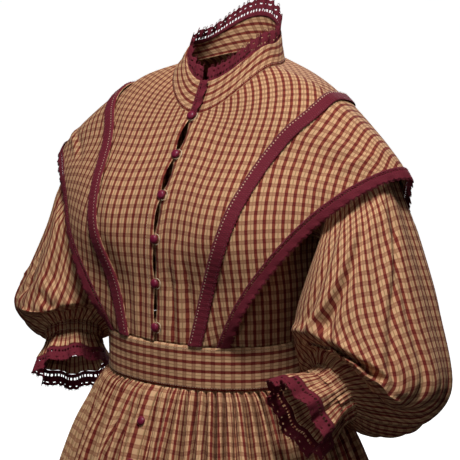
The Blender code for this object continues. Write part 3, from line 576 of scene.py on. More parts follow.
def bodice():
    look = bodiceValues
    rings = np.concatenate([np.linspace(0, 2, 24)[:-1], np.linspace(2, 5, 36)[:-1], np.linspace(5, 7, 20)])
    side = armholeAngle(rings, True) - 0.17
    # between the buttons the right front gapes away from the left, which sinks there
    below = lengths(torso(rings, 0 * rings)[::-1], 0)[::-1]
    phase = (below - buttonValues["first"] - 0.1) / buttonValues["pitch"]
    gaping = np.abs(np.sin(math.pi * phase)) ** 0.7 * np.where(phase < 0, 0.4, 1.0)
    gaping = gaping * (1 - 0.3 * smooth(phase, 1.6, 3.0))
    for name in ("left", "right"):
        if name == "left":
            reach = look["lap"] - look["lap"] * gaping ** 0.6
        else:
            reach = look["edge"] - look["gape"] * gaping
        lap = np.sign(reach) * angleAt(rings, np.abs(reach))
        shares = np.concatenate([np.linspace(0, 0.14, 18)[:-1], np.linspace(0.14, 1, 50)])
        front = torso(rings[:, None], -lap[:, None] + (side + lap)[:, None] * shares[None])
        front = tuckedUnder(front, look["room"])
        run = lengths(front, 1)
        u, v = run - reach[:, None], lengths(front, 0)
        fade = smooth(u, -0.2, 1.2)
        lift = creased(u, v, look[name + "Creases"]) * fade
        if name == "left":
            lift = lift - 0.25 * gaping[:, None] * np.exp(-(run / 0.5) ** 2)
        else:
            lift = lift + 0.22 * gaping[:, None] * np.exp(-(run / 0.9) ** 2)
        grid = front + outOf(front) * lift[..., None]
        place = np.stack([u + (0.32 if name == "left" else 0.0), v], -1)
        if name == "right":
            grid, place = mirrored(grid), mirrored(place)
            lift = 1 - smooth(-grid[..., 0], look["lapFlat"], look["lapFade"])
            grid = grid + outOf(grid) * (lift * look["lapLift"])[..., None]
        grid[0, :, 2] = look["gap"]
        label = "bodice_front_" + name
        makeSheet(label + "_cloth", label, grid, place, "draped", ["waistband_cloth"])
    angles = armholeAngle(rings, False)[:, None] + 0.17
    half = torso(rings[:, None], angles + (180 - angles) * np.linspace(0, 1, 46)[None])
    half = tuckedUnder(half, look["room"])
    back = np.concatenate([half, mirrored(half)[:, 1:]], axis=1)
    run = lengths(back, 1)
    u, v = run - run[:, 45:46], lengths(back, 0)
    back = back + outOf(back) * creased(u, v, look["backCreases"])[..., None]
    back[0, :, 2] = look["gap"]
    makeSheet("bodice_back_cloth", "bodice_back", back, np.stack([u, v], -1), "draped", ["waistband_cloth"])
    threads("front_edge_stitches", stitches(grid[:, -4], outOf(grid)[:, -4]), 0.022, sides=5)
    print("bodice made")


def overlays():
    look = overlayValues
    last = look["stations"]
    stations = np.concatenate([[0, 0.12], stationsEvery(0.42, 1.0)[0][1:-1], [last - 0.12, last]])
    stations = np.unique(np.round(stations, 5))
    whole = lengths(overlayPoint(stations[:, None], np.linspace(0, 1, 34)[None]), 1)[:, -1:]
    # the cloth ends under the sewn side of the edging
    fine = overlayPoint(stations[:, None], (1 - look["short"] / whole) * np.linspace(0, 1, 34)[None])
    u = lengths(fine, 1)
    seam = int(np.argmin(np.abs(stations - last / 2)))    # at the shoulder
    run = lengths(fine, 0)[:, 12]
    along = (run - run[seam])[:, None] * np.ones_like(u)
    lean = math.radians(look["grain"])
    # the stripes keep an angle to the inner edge, and turn over the shoulder
    drift = np.sqrt(along ** 2 + 25.0)
    place = np.stack([u * math.cos(lean) - drift * math.sin(lean),
                      along * math.cos(lean) + u * math.sin(lean) * along / drift], -1)
    lift = creased(along, u, look["creases"]) * smooth(u, 0.6, 2.4)
    ends = smooth(stations, 0, 0.5) * smooth(last - stations, 0, 0.5)
    grid = fine + outOf(fine) * (lift * ends[:, None])[..., None]
    grid[[0, -1], :, 2] = bodiceValues["gap"]
    for side in ("left", "right"):
        turn = turnFor(side)
        makeSheet("overlay_%s_cloth" % side, "overlay_" + side, turn(grid), turn(place), "draped",
                  ["bodice_front_%s_cloth" % side, "bodice_back_cloth"], thick=0.1)
    trims()
    print("overlays made")


def braid(wall):
    # the inner braid, with a row of eyelets on the neck side and small scallops on the other
    look = braidValues
    stations, total = stationsEvery(look["step"], 0.0)
    run = np.linspace(0, total, len(stations))
    shares = np.array([0, 0.1, 0.17, 0.25, 0.42, 0.64, 0.85, 0.93, 1.0])
    deep = look["deep"]
    reaches = shares[None] * (look["width"] - deep + deep * np.abs(np.sin(math.pi * run / look["scallop"])))[:, None]
    points, outs = acrossAt(stations, reaches)
    lift = wall - 0.02 + 0.03 * np.sin(math.pi * shares)[None] + 0.012 * np.sin(2 * math.pi * run / 0.8)[:, None]
    lift = lift - 0.24 * (1 - smooth(shares, 0.0, 0.17))    # the neck edge lies down on the bodice
    grid = points + outs * lift[..., None]
    phase = (run[:-1] + look["step"] / 2) % look["eyelet"]
    keep = np.ones((len(run) - 1, len(shares) - 1), bool)
    keep[:, 2] = np.abs(phase - look["eyelet"] * 0.21) > look["eyelet"] * 0.2
    turns = np.arange(7) * 2 * math.pi / 7
    dots = []
    for reach in np.arange(look["eyelet"] * 1.21, total - 0.3, look["eyelet"]):
        i = int(np.clip(round(reach / total * (len(run) - 1)), 1, len(run) - 2))
        middle = grid[i, 2:4].mean(0) - outs[i, 2] * 0.03
        dots.append((middle + unit(grid[i + 1, 2] - grid[i - 1, 2]) * np.cos(turns)[:, None] * 0.05
                     + unit(grid[i, 3] - grid[i, 2]) * np.sin(turns)[:, None] * 0.05, True))
    sewn = []
    for column in (1, 6):
        sewn += stitches(points[:, column] + outs[:, column] * wall, outs[:, column], pitch=0.42)
    return grid, np.stack([np.broadcast_to(run[:, None], reaches.shape), reaches], -1), keep, dots, sewn


def edging(wall):
    # the free edging: ladder holes, a scalloped edge and picot loops past each scallop
    look = edgingValues
    stations, total = stationsEvery(look["step"], 1.0)
    run = np.linspace(0, total, len(stations))
    wave = np.abs(np.sin(math.pi * run / look["scallop"]))
    shares = np.array([0, 0.08, 0.14, 0.24, 0.34, 0.42, 0.55, 0.68, 0.8, 0.9, 1.0])
    deep = look["deep"]
    reaches = look["proud"] - look["width"] + shares[None] * (look["width"] - deep + deep * wave[:, None] ** 0.7)
    points, outs = acrossAt(stations, reaches, fromFree=True)
    flutter = np.sin(2 * math.pi * run / 1.9 + 0.8 * np.sin(run / 3.1))[:, None] * smooth(shares, 0.55, 1.0)[None]
    grid = points + outs * (wall - 0.02 + 0.07 * flutter + 0.035 * np.sin(math.pi * shares)[None])[..., None]
    keep = np.ones((len(run) - 1, len(shares) - 1), bool)
    keep[:, 2:4] = ((run[:-1] + look["step"] / 2) % look["ladder"] > look["ladder"] * 0.55)[:, None]
    spots = [int(np.clip(round((reach + step) / total * (len(run) - 1)), 0, len(run) - 1))
             for reach in np.arange(look["scallop"] / 2, total, look["scallop"]) for step in (-0.2, 0.0, 0.2)]
    sunk = outs[:, -1] * 0.04
    loops = picots(grid[:, -1] - sunk, grid[:, -3] - sunk, spots, 0.07, (0.11, 0.08))
    sewn = stitches(points[:, 1] + outs[:, 1] * wall, outs[:, 1], pitch=0.42)
    place = np.stack([np.broadcast_to(run[:, None], reaches.shape), reaches - reaches[:, :1]], -1)
    return grid, place, keep, loops, sewn


def trims():
    wall = overlayValues["laceWall"] + overlayValues["laid"]
    made = [("braid", "eyelets", 0.05, creamOnLace) + braid(wall),
            ("edging", "picots", 0.028, lace) + edging(wall)]
    for side in ("left", "right"):
        turn = turnFor(side)
        sewn = []
        for name, small, radius, finish, grid, place, keep, loops, seams in made:
            name = "%s_%s" % (name, side)
            makeSheet(name + "_lace", name, turn(grid), turn(place), "laid", ["overlay_%s_cloth" % side], lace,
                      thick=0.06, keep=keep[:, ::-1] if side == "right" else keep)
            threads("%s_%s" % (name, small), onSide(loops, side), radius, finish)
            sewn += seams
        threads("overlay_%s_stitches" % side, onSide(sewn, side), 0.02, wineSewing)


sleeveValues = {
    "gathers": 18, "room": 0.85, "first": 0.22, "swell": 0.34, "wristSwell": 0.16, "around": 216,
    "from": (4.6, 7.6), "to": (8.0, 9.0), "middle": [17.0, 3.0, 20.5],
    # each ring: outer x y z, inner x y z, front, back, turn
    "left": np.array([
        (20.3, 3.9, 25.9, 17.0, 2.2, 12.2, 6.0, 6.4, 0), (23.3, 3.5, 22.7, 17.3, 2.2, 11.8, 6.0, 6.8, 0),
        (25.7, 3.0, 18.6, 17.0, 1.8, 10.8, 7.3, 7.3, 0), (28.6, 2.4, 12.3, 16.3, 1.4, 8.4, 9.4, 8.1, 0),
        (31.5, 1.9, 5.0, 15.4, 0.6, 4.4, 10.5, 9.0, 5), (33.8, 1.5, -2.6, 15.1, -0.8, 0.2, 10.4, 9.4, 20),
        (32.4, -1.0, -5.3, 16.2, -2.4, -3.2, 7.7, 7.2, 50), (28.9, -4.6, -5.1, 18.3, -3.6, -3.5, 6.0, 5.8, 60),
        (26.9, -7.2, -4.3, 19.8, -4.9, -3.0, 3.8, 3.8, 64)]),
    "right": np.array([
        (20.3, 3.9, 25.9, 17.0, 2.2, 12.2, 6.0, 6.4, 0), (22.9, 3.5, 22.7, 17.3, 2.2, 11.8, 6.0, 6.7, 0),
        (23.9, 3.0, 18.4, 17.1, 1.8, 10.8, 6.4, 7.1, 0), (25.4, 2.0, 12.0, 16.3, 1.4, 8.2, 7.1, 7.7, 0),
        (28.0, 1.0, 5.8, 15.6, 0.8, 5.4, 7.7, 8.4, 2), (30.1, -0.1, 0.4, 15.2, 0.3, 2.8, 7.8, 8.2, 10),
        (29.2, -1.1, -3.0, 15.9, 0.2, 1.2, 6.7, 7.2, 22), (27.2, -1.4, -4.5, 17.1, -0.1, -0.2, 5.0, 5.6, 28),
        (25.4, -1.5, -4.8, 18.6, -0.5, -1.8, 3.8, 3.8, 30)]),
    # large folds: angle ring endAngle endRing width deep
    "leftFolds": [(43, 3.0, 103, 5.13, 6, 0.85), (34, 2.6, 94, 5.2, 6, -1.25), (17, 3.6, 54, 5.9, 2.8, -0.6),
                  (23, 3.6, 61, 5.9, 4.5, 0.45), (-8, 2.0, -2, 6.2, 9, -0.4),
                  (-60, 2.4, -40, 6.4, 11, -0.7), (-95, 2.6, -80, 6.4, 11, 0.7)],
    # the cloth droops over the elbow gathers: angle ring, their spreads, and how far in cm
    "leftDroop": [(42.0, 7.2, 28.0, 0.85, [0.3, -1.0, -2.3]), (74.0, 7.0, 28.0, 0.5, [1.2, -3.1, -0.6])],
    "rightDroop": [(112.0, 6.8, 45.0, 0.8, [0.3, -1.6, -1.7])],
    "leftPouch": [(142, 5.65, 97, 5.4, 1.0, 0.8), (99, 5.4, 70, 6.05, 0.9, 0.9), (73, 5.95, 44, 6.8, 1.0, 0.7),
                  (128, 6.05, 86, 6.0, 0.75, -1.7), (96, 5.95, 60, 6.7, 0.6, -1.3),
                  (114, 6.9, 78, 6.8, 0.9, 0.8), (82, 6.8, 38, 7.3, 1.1, 1.3)],
    "rightFolds": [(20, 2.0, 30, 6.4, 10, 0.5), (58, 2.6, 66, 5.6, 9, -0.5), (-30, 2.2, -26, 6.4, 11, -0.7),
                   (-75, 2.4, -64, 6.2, 11, 0.7), (118, 3.2, 108, 5.2, 8, -0.5), (90, 3.0, 92, 5.4, 8, 0.4)],
    "rightPouch": [(92, 5.2, 122, 6.2, 0.9, 0.4), (121, 6.2, 160, 6.9, 1.0, 0.4), (96, 5.8, 119, 6.55, 0.6, -0.5),
                   (124, 6.7, 158, 7.3, 0.7, -0.6), (80, 5.2, 50, 6.0, 0.8, -0.5), (70, 6.6, 120, 7.4, 0.9, 0.6)],
    # finer creases in the same words
    "leftCreases": [(48, 1.8, 119, 6.0, 3.5, 0.30), (66, 2.2, 124, 5.8, 4.0, -0.35), (22, 3.6, 28, 6.2, 2.6, -0.32),
                    (27, 3.4, 34, 6.0, 3.5, 0.18), (96, 6.0, 66, 6.9, 3.5, -0.30), (-30, 3.0, -24, 6.0, 3.5, -0.2),
                    (150, 2.5, 160, 6.0, 4.0, -0.25), (-130, 2.5, -118, 6.2, 4.0, -0.25),
                    (-110, 3.0, -100, 6.0, 3.5, 0.2)],
    "rightCreases": [(38, 2.4, 44, 6.0, 3.0, 0.22), (56, 3.0, 64, 6.0, 3.2, -0.25), (72, 4.4, 30, 5.6, 3.0, 0.25),
                     (8, 3.0, 14, 6.2, 3.4, -0.2), (-45, 3.0, -40, 6.2, 3.4, -0.2), (-100, 3.0, -92, 6.0, 3.4, 0.22),
                     (150, 3.0, 150, 6.0, 4.0, -0.2)],
}
cuffValues = {
    # along radius wave
    "rows": np.array([(0.0, 3.72, 0.16), (1.7, 3.72, 0.16), (3.9, 4.55, 0.42), (6.0, 4.95, 0.6)]),
    "flutes": 8, "shirring": 44, "scallops": 38, "ladder": 0.42, "scallop": 0.8, "laceRadius": 4.9, "around": 264,
}


def armholePoint(angle):
    turn = np.asarray(angle, float) % 360
    front = turn <= 180
    down = np.where(front, turn / 180, (360 - turn) / 180)
    ring = 5 - 3 * (0.5 - 0.5 * np.cos(math.pi * down))
    return torso(ring, np.where(front, armholeAngle(ring, True), armholeAngle(ring, False)))


def sleeveRing(row, angle):
    outer, inner = row[0:3], row[3:6]
    middle, half = (outer + inner) / 2, (outer - inner) / 2
    turn = math.radians(row[8])
    ahead = np.array([0, -math.cos(turn), math.sin(turn)])
    ahead = unit(ahead - half * np.dot(ahead, half) / np.dot(half, half))
    c, s = np.cos(np.radians(angle))[:, None], np.sin(np.radians(angle))[:, None]
    return middle + half * c + ahead * s * np.where(s > 0, row[6], row[7])


def foldDepth(folds, angle, ring):
    total = np.zeros(np.broadcast(angle, ring).shape)
    for startAngle, startRing, endAngle, endRing, width, deep in folds:
        f = np.clip((ring - startRing) / (endRing - startRing), 0, 1)
        off = (angle - (startAngle + (endAngle - startAngle) * f) + 180) % 360 - 180
        past = np.maximum(np.maximum(startRing - ring, ring - endRing), 0)
        total = total + deep * np.exp(-(off / width) ** 2 - (past / 0.5) ** 2)
    return total


def crossFolds(folds, angle, ring):
    # folds that run across the sleeve: angle ring endAngle endRing width deep, with width and depth in cm
    rows = [(a * 0.15, r * 4.5, b * 0.15, s * 4.5, width, deep) for a, r, b, s, width, deep in folds]
    return creased(angle * 0.15, ring * 4.5, rows)


def cuffFrame(rows):
    row = rows[-1]
    middle, out = (row[0:3] + row[3:6]) / 2, unit(row[0:3] - row[3:6])
    turn = math.radians(row[8])
    ahead = np.array([0, -math.cos(turn), math.sin(turn)])
    ahead = unit(ahead - out * np.dot(ahead, out))
    return middle, out, ahead, np.cross(out, ahead)


def cuffPoints(rows, along, radius, angles):
    # along and radius are grids, with a column for each angle
    middle, out, ahead, down = cuffFrame(rows)
    way = out * np.cos(angles)[:, None] + ahead * np.sin(angles)[:, None]
    return middle + down * (along[..., None] + 0.03) + way[None] * radius[..., None]


def sleeve(side):
    look = sleeveValues
    rows, turn = look[side], turnFor(side)
    count = look["around"]
    angles = np.arange(count) * 360 / count
    rings = np.stack([armholePoint(angles)] + [sleeveRing(row, angles) for row in rows])
    rings[0] += unit(rings[1] - rings[0]) * look["first"]
    centres = np.vstack([look["middle"], rows[:, :6].reshape(-1, 2, 3).mean(1)])
    places = np.concatenate([np.linspace(0, 6, 50)[:-1], np.linspace(6, 8, 27)[:-1], np.linspace(8, 9, 10)])
    grid, centre = splineAt(rings, places), splineAt(centres, places)
    out = unit(grid - centre[:, None])
    ring, angle = places[:, None], angles[None]
    swell = look["swell"] * smooth(ring, *look["from"])
    swell = swell + (look["wristSwell"] - look["swell"]) * smooth(ring, *look["to"])
    phase = np.radians(angle)
    stray = 0.5 * np.sin(3 * phase + 1) + 0.35 * np.sin(7 * phase)
    gather = swell * ripple(look["gathers"] * phase + stray * (1 - smooth(ring, 7.5, 9)))
    gather = gather + 0.10 * smooth(ring, 6.6, 8.2) * np.sin(41 * phase + 2 * np.sin(4 * phase))
    head = 0.09 * (1 - smooth(ring, 0.2, 2.4)) * np.sin(30 * phase + np.sin(5 * phase))
    depth = gather + head + foldDepth(look[side + "Folds"] + look[side + "Creases"], angle, ring)
    depth = depth + crossFolds(look[side + "Pouch"], angle, ring)
    grid = grid + out * depth[..., None]
    for atAngle, atRing, wide, deep, droop in look[side + "Droop"]:
        share = np.exp(-(((angle - atAngle + 180) % 360 - 180) / wide) ** 2 - ((ring - atRing) / deep) ** 2)
        grid = grid + (share * smooth(8.1 - ring, 0.0, 0.6))[..., None] * np.array(droop)
    held = places <= 5
    kept = tuckedUnder(grid[held], look["room"])
    fade = (1 - smooth(places[held], 4.0, 5.0))[:, None, None]
    grid[held] += (kept - grid[held]) * fade
    whole = np.concatenate([grid, grid[:, :1]], axis=1)
    widest = lengths(whole, 1)[places < 5][-6:, -1].mean()
    v = lengths(whole, 0)
    # a whole number of stripes round, so that they meet at the seam
    u = np.linspace(0, 1, count + 1)[None] * round(widest / checkValues["stripeRepeat"]) * checkValues["stripeRepeat"]
    place = np.stack([np.broadcast_to(u, v.shape), -v], -1)
    makeSheet("sleeve_%s_cloth" % side, "sleeve_" + side, turn(grid), turn(place), "gathered",
              ["bodice_front_%s_cloth" % side, "casing_%s_cloth" % side], closed=True)
    return rows, turn, widest


def cuff(side, rows, turn, widest):
    look = cuffValues
    count = look["around"]
    turns = np.arange(count) * 2 * math.pi / count
    full = np.append(turns, 2 * math.pi)
    gathers, flutes = sleeveValues["gathers"], look["flutes"]
    finePleats = np.sin(look["shirring"] * turns + 2 * np.sin(3 * turns))[None]
    flare = np.sin(3 * flutes * turns + 1.5 * np.sin(2 * turns))[None]

    def stretch(name, node, span, shape, held, restsOn, drop=0.0, keep=None, **making):
        lines = splineAt(look["rows"], np.linspace(*span))
        share = np.linspace(0, 1, span[2])[:, None]
        reach = shape(lines[:, 1:2], lines[:, 2:3], share)
        along = lines[:, :1] + drop * share ** 6 * (1 - np.abs(np.sin(turns * look["scallops"] / 2)))[None]
        grid = cuffPoints(rows, along, reach, turns)
        place = np.stack(np.broadcast_arrays(full[None] / (2 * math.pi) * widest, -lines[:, :1] - widest), -1)
        if keep is not None and side == "right":
            keep = np.roll(keep[:, ::-1], -1, axis=1)
        makeSheet(name, node, turn(grid), turn(place), held, restsOn, closed=True, keep=keep, **making)
        return grid

    # the casing, drawn in along two rows of elastic
    casing = stretch("casing_%s_cloth" % side, "casing_" + side, (0, 0.99, 20), lambda radius, wave, share: (
        radius + wave * ripple(gathers * turns)[None] + 0.07 * finePleats
        - 0.07 * np.exp(-((share - 0.25) / 0.07) ** 2) - 0.07 * np.exp(-((share - 0.72) / 0.07) ** 2)),
        "gathered", ["sleeve_%s_cloth" % side], fuller=1.2)
    stretch("cuff_frill_%s_cloth" % side, "cuff_frill_" + side, (1.01, 1.99, 17), lambda radius, wave, share: (
        radius + wave * np.cos(flutes * turns)[None] + 0.10 * (1 - share) ** 2 * finePleats + 0.10 * share * flare),
        "gathered", ["casing_%s_cloth" % side])
    # the lace, with ladder holes and a row of eyelets
    run = np.arange(count) * look["laceRadius"] * 2 * math.pi / count
    keep = np.ones((15, count), bool)
    keep[3:5] = (run % look["ladder"] > look["ladder"] * 0.5)[None]
    keep[10] = (run + 0.2) % look["scallop"] > 0.25
    edge = stretch("cuff_lace_%s_lace" % side, "cuff_lace_" + side, (2.01, 3.0, 16), lambda radius, wave, share: (
        radius + wave * np.cos(flutes * turns)[None] + 0.12 * share * flare),
        "hung", ["cuff_frill_%s_cloth" % side], drop=-0.16, keep=keep, finish=lace, thick=0.05)
    loops = picots(edge[-1], edge[-3], [int(round((k + 0.5) * count / 76)) % count for k in range(76)],
                   0.07, (0.13, 0.09), closed=True)
    threads("cuff_%s_picots" % side, onSide(loops, side), 0.028, lace)
    sewn = seamRound(casing, 5, pitch=0.26, length=0.18) + seamRound(casing, 14, pitch=0.26, length=0.18)
    threads("casing_%s_stitches" % side, onSide(sewn, side), 0.02)


def sleeves():
    for side in ("left", "right"):
        rows, turn, widest = sleeve(side)
        cuff(side, rows, turn, widest)
    print("sleeves and cuffs made")


bandValues = {
    "height": 5.4, "round": 0.22, "size": (13.55, -10.45, 0.1, 10.4, 0.92), "around": 240,
    # cm round from the middle front, cm up
    "creases": [
        (2.0, -1.2, 14.0, -1.6, 0.22, -0.05), (4.0, -3.3, 17.0, -3.0, 0.25, -0.05),
        (-12.0, -2.2, -3.0, -2.5, 0.22, -0.05), (24.0, -2.0, 36.0, -1.7, 0.25, -0.05),
        (-36.0, -3.4, -24.0, -3.1, 0.25, -0.05), (8.0, -4.4, 13.0, -4.3, 0.2, 0.04)],
}
skirtValues = {
    "columns": 217, "cut": 345.0, "folds": 24, "gathers": 72, "fine": 144, "placket": 6.6, "lap": 0.9, "lapLift": 0.202,
    "widths": [("skirt_front", 0, 60), ("skirt_side", 60, 120), ("skirt_back", 120, 180)],
    # z halfWidth frontY backY gather fold valley
    "rings": np.array([(-5.43, 13.35, -10.35, 10.3, 0.24, 0.0, 0.35), (-6.6, 14.5, -11.3, 12.0, 0.34, 0.05, 1.2),
                       (-9.6, 16.1, -12.9, 14.8, 0.42, 0.3, 1.75), (-15.0, 18.6, -15.3, 17.8, 0.42, 0.6, 1.8),
                       (-27.0, 22.4, -19.0, 22.2, 0.34, 1.0, 1.3), (-50.0, 29.0, -25.6, 29.6, 0.22, 1.5, 0.8),
                       (-99.0, 41.0, -37.5, 42.0, 0.1, 2.2, 0.2)]),
}


def waistband():
    look = bandValues
    angles = np.arange(look["around"]) * 360 / look["around"]
    rise = np.linspace(0.15, look["height"] - 0.15, 24)
    zs = np.concatenate([[0.0, 0.05], rise, [look["height"] - 0.05, look["height"]]]) - look["height"]
    rows = np.array([[z, z, z] + list(look["size"]) for z in zs])
    grid = ringPoint(rows[:, None], angles[None])
    run = lengths(np.concatenate([grid, grid[:, :1]], axis=1), 1)
    around = np.where(run > run[:, -1:] / 2, run - run[:, -1:], run)[:, :-1]
    fromEdge = np.minimum(-zs, zs + look["height"])[:, None]
    tuck = -look["round"] * (1 - smooth(fromEdge, 0.0, 0.3)) ** 2
    rim = 0.04 * np.exp(-((zs[:, None] + look["height"] - 0.28) / 0.1) ** 2)
    lift = tuck - rim + creased(around, np.broadcast_to(zs[:, None], around.shape), look["creases"])
    lift = lift + 0.03 * np.sin(around * 0.9 + zs[:, None] * 0.8)
    grid = grid + outOf(grid, True) * (lift - 0.05)[..., None]
    grid[0, :, 2], grid[-1, :, 2] = -look["height"] + 0.01, -0.01
    # the cloth is turned, so that its stripes run round
    stripes = (zs + look["height"]) * checkValues["stripeRepeat"] / 1.075 + 0.30
    place = np.stack([np.broadcast_to(stripes[:, None], run.shape), run], -1)
    makeSheet("waistband_cloth", "waistband", grid, place, "stretched", ["bodice_back_cloth"], thick=0.2, closed=True)
    threads("waistband_stitches", seamRound(grid, 3) + seamRound(grid, 24), 0.02)
    print("waistband made")


def skirtGrid(angle, side, rows):
    # rows of the skirt at each height, and the level directions out of it
    look = skirtValues
    z, halfWidth, frontY, backY, gather, fold, valley = np.moveaxis(rows[:, None], -1, 0)
    middleY, halfDepth = (frontY + backY) / 2, (backY - frontY) / 2
    ring = np.stack([z, z, z, halfWidth, frontY, middleY, backY, np.ones_like(z)], -1)
    shape = (len(rows), angle.shape[1])
    point = ringPoint(np.broadcast_to(ring, shape + (8,)), np.broadcast_to(angle, shape))
    out = np.stack([point[..., 0] / halfWidth ** 2, (point[..., 1] - middleY) / halfDepth ** 2, 0 * point[..., 0]], -1)
    out = unit(out)
    turn = np.radians(angle)
    flat = smooth(angle, look["placket"] * 0.4, look["placket"])
    stray = 0.6 * np.sin(5 * turn) + 0.8 * side * np.sin(turn)
    wave = np.cos(look["folds"] * turn + stray)
    uneven = 1 + 0.35 * np.sin(7 * turn) + 0.15 * side * np.sin(3 * turn)
    # the solid's own gathers, then finer and less even ones that start at the band and run together
    lean = 1.5 * np.sin(9 * turn + side) + 1.1 * np.sin(17 * turn + 2 * side)
    down = -z - bandValues["height"] - bodiceValues["gap"]
    phase = look["gathers"] * turn + math.pi + lean * smooth(down, -1, 9)
    amount = (1 + 0.3 * np.sin(11 * turn + 2 * side) + 0.2 * np.sin(31 * turn + side)) * smooth(down, -0.9, 1.4) * flat
    coarse = flat * gather * (0.35 + 0.65 * np.cos(phase)) - valley * np.abs(np.sin(phase / 2)) ** 7 * amount
    fineSize = (0.17 + 0.06 * np.sin(13 * turn + side)) * (1 - smooth(down, 0.5, 6.0)) * smooth(down, -0.2, 0.6)
    fine = fineSize * ripple(look["fine"] * turn + 1.4 * np.sin(5 * turn + side) + 0.8 * np.sin(23 * turn))
    depth = coarse + flat * (fine + fold * wave * uneven)
    pinch = 0.16 * (1 - smooth(down, 0.0, 0.8))
    # each fold is fuller than its foot, so the valleys between are narrow
    beside = np.stack([-out[..., 1], out[..., 0], 0 * depth], -1)
    spread = 0.06 * np.sin(phase) * amount * smooth(np.minimum(angle % 60, 60 - angle % 60), 0.5, 3.0)
    return point + out * (depth - pinch)[..., None] + beside * spread[..., None], out


def skirt():
    look = skirtValues
    places = np.concatenate([np.linspace(0, 1, 10)[:-1], np.linspace(1, 3, 18)[:-1], np.linspace(3, 6, 20)])[::-1]
    rows = splineAt(look["rings"], places)
    seams = []
    for name, first, last in look["widths"]:
        for side in (1, -1):
            angle = np.linspace(first, last, look["columns"])[None]
            # the cloth held in the valleys a hand's breadth below the band opens out towards the hem
            laid = lengths(skirtGrid(angle, side, rows)[0], 1)[int(np.argmin(np.abs(rows[:, 0] + 12.0)))]
            laid = first + laid / laid[-1] * (last - first)
            held = np.where(rows[:, :1] < -12, np.minimum(rows[:, 6:7] / rows[:, 6].max() / 0.9, 1.0), 1.0)
            grid, out = skirtGrid(angle + (laid[None] - angle) * (1 - held), side, rows)
            if first == 0:
                grid[:, 0, 0] = -look["lap"] if side < 0 else 0.03
                grid[:, 1:6, 0] = grid[:, :1, 0] + (grid[:, 6:7, 0] - grid[:, :1, 0]) * (np.arange(1, 6) / 6)[None]
            down = lengths(grid, 0)
            down = down[-1:] - down
            place = np.stack([np.broadcast_to(laid / 360 * look["cut"], down.shape), -down], -1)
            if side < 0:
                grid, out, place = mirrored(grid), mirrored(out), mirrored(place)
                if first == 0:
                    lift = 1 - smooth(-grid[..., 0], 1.4, 4.0)
                    grid = grid + out * (lift * look["lapLift"])[..., None]
            label = name + ("_left" if side > 0 else "_right")
            makeSheet(label + "_cloth", label, grid, place, "gathered", ["waistband_cloth"])
            if first == 0:
                column = 3 if side > 0 else look["columns"] - 4
                seams += stitches(grid[::-1][:21, column], outOf(grid)[::-1][:21, column])
    threads("skirt_opening_stitches", seams, 0.02)
    print("skirt made")


collarValues = {
    "top": np.array([31.1, 35.6, 39.2, 5.9, -0.7, 5.3, 11.4, 1.0]), "open": 3.2,
    # cm round and cm up
    "creases": [(3.0, 0.6, 7.8, 4.2, 0.35, -0.13), (3.6, 0.2, 8.6, 3.6, 0.4, 0.08), (12.0, 1.0, 16.0, 3.8, 0.5, -0.08),
                (30.0, 0.8, 34.0, 3.6, 0.5, -0.08), (22.0, 2.6, 27.0, 3.0, 0.4, 0.05)],
}
ruffleValues = {"high": 1.85, "waves": 22, "ladder": 0.45, "scallop": 0.8}


def collarPoint(rise, angle):
    low = bodiceValues["rings"][-1]
    rise, angle = np.broadcast_arrays(np.asarray(rise, float), np.asarray(angle, float))
    return ringPoint(low + (collarValues["top"] - low) * rise[..., None], angle)


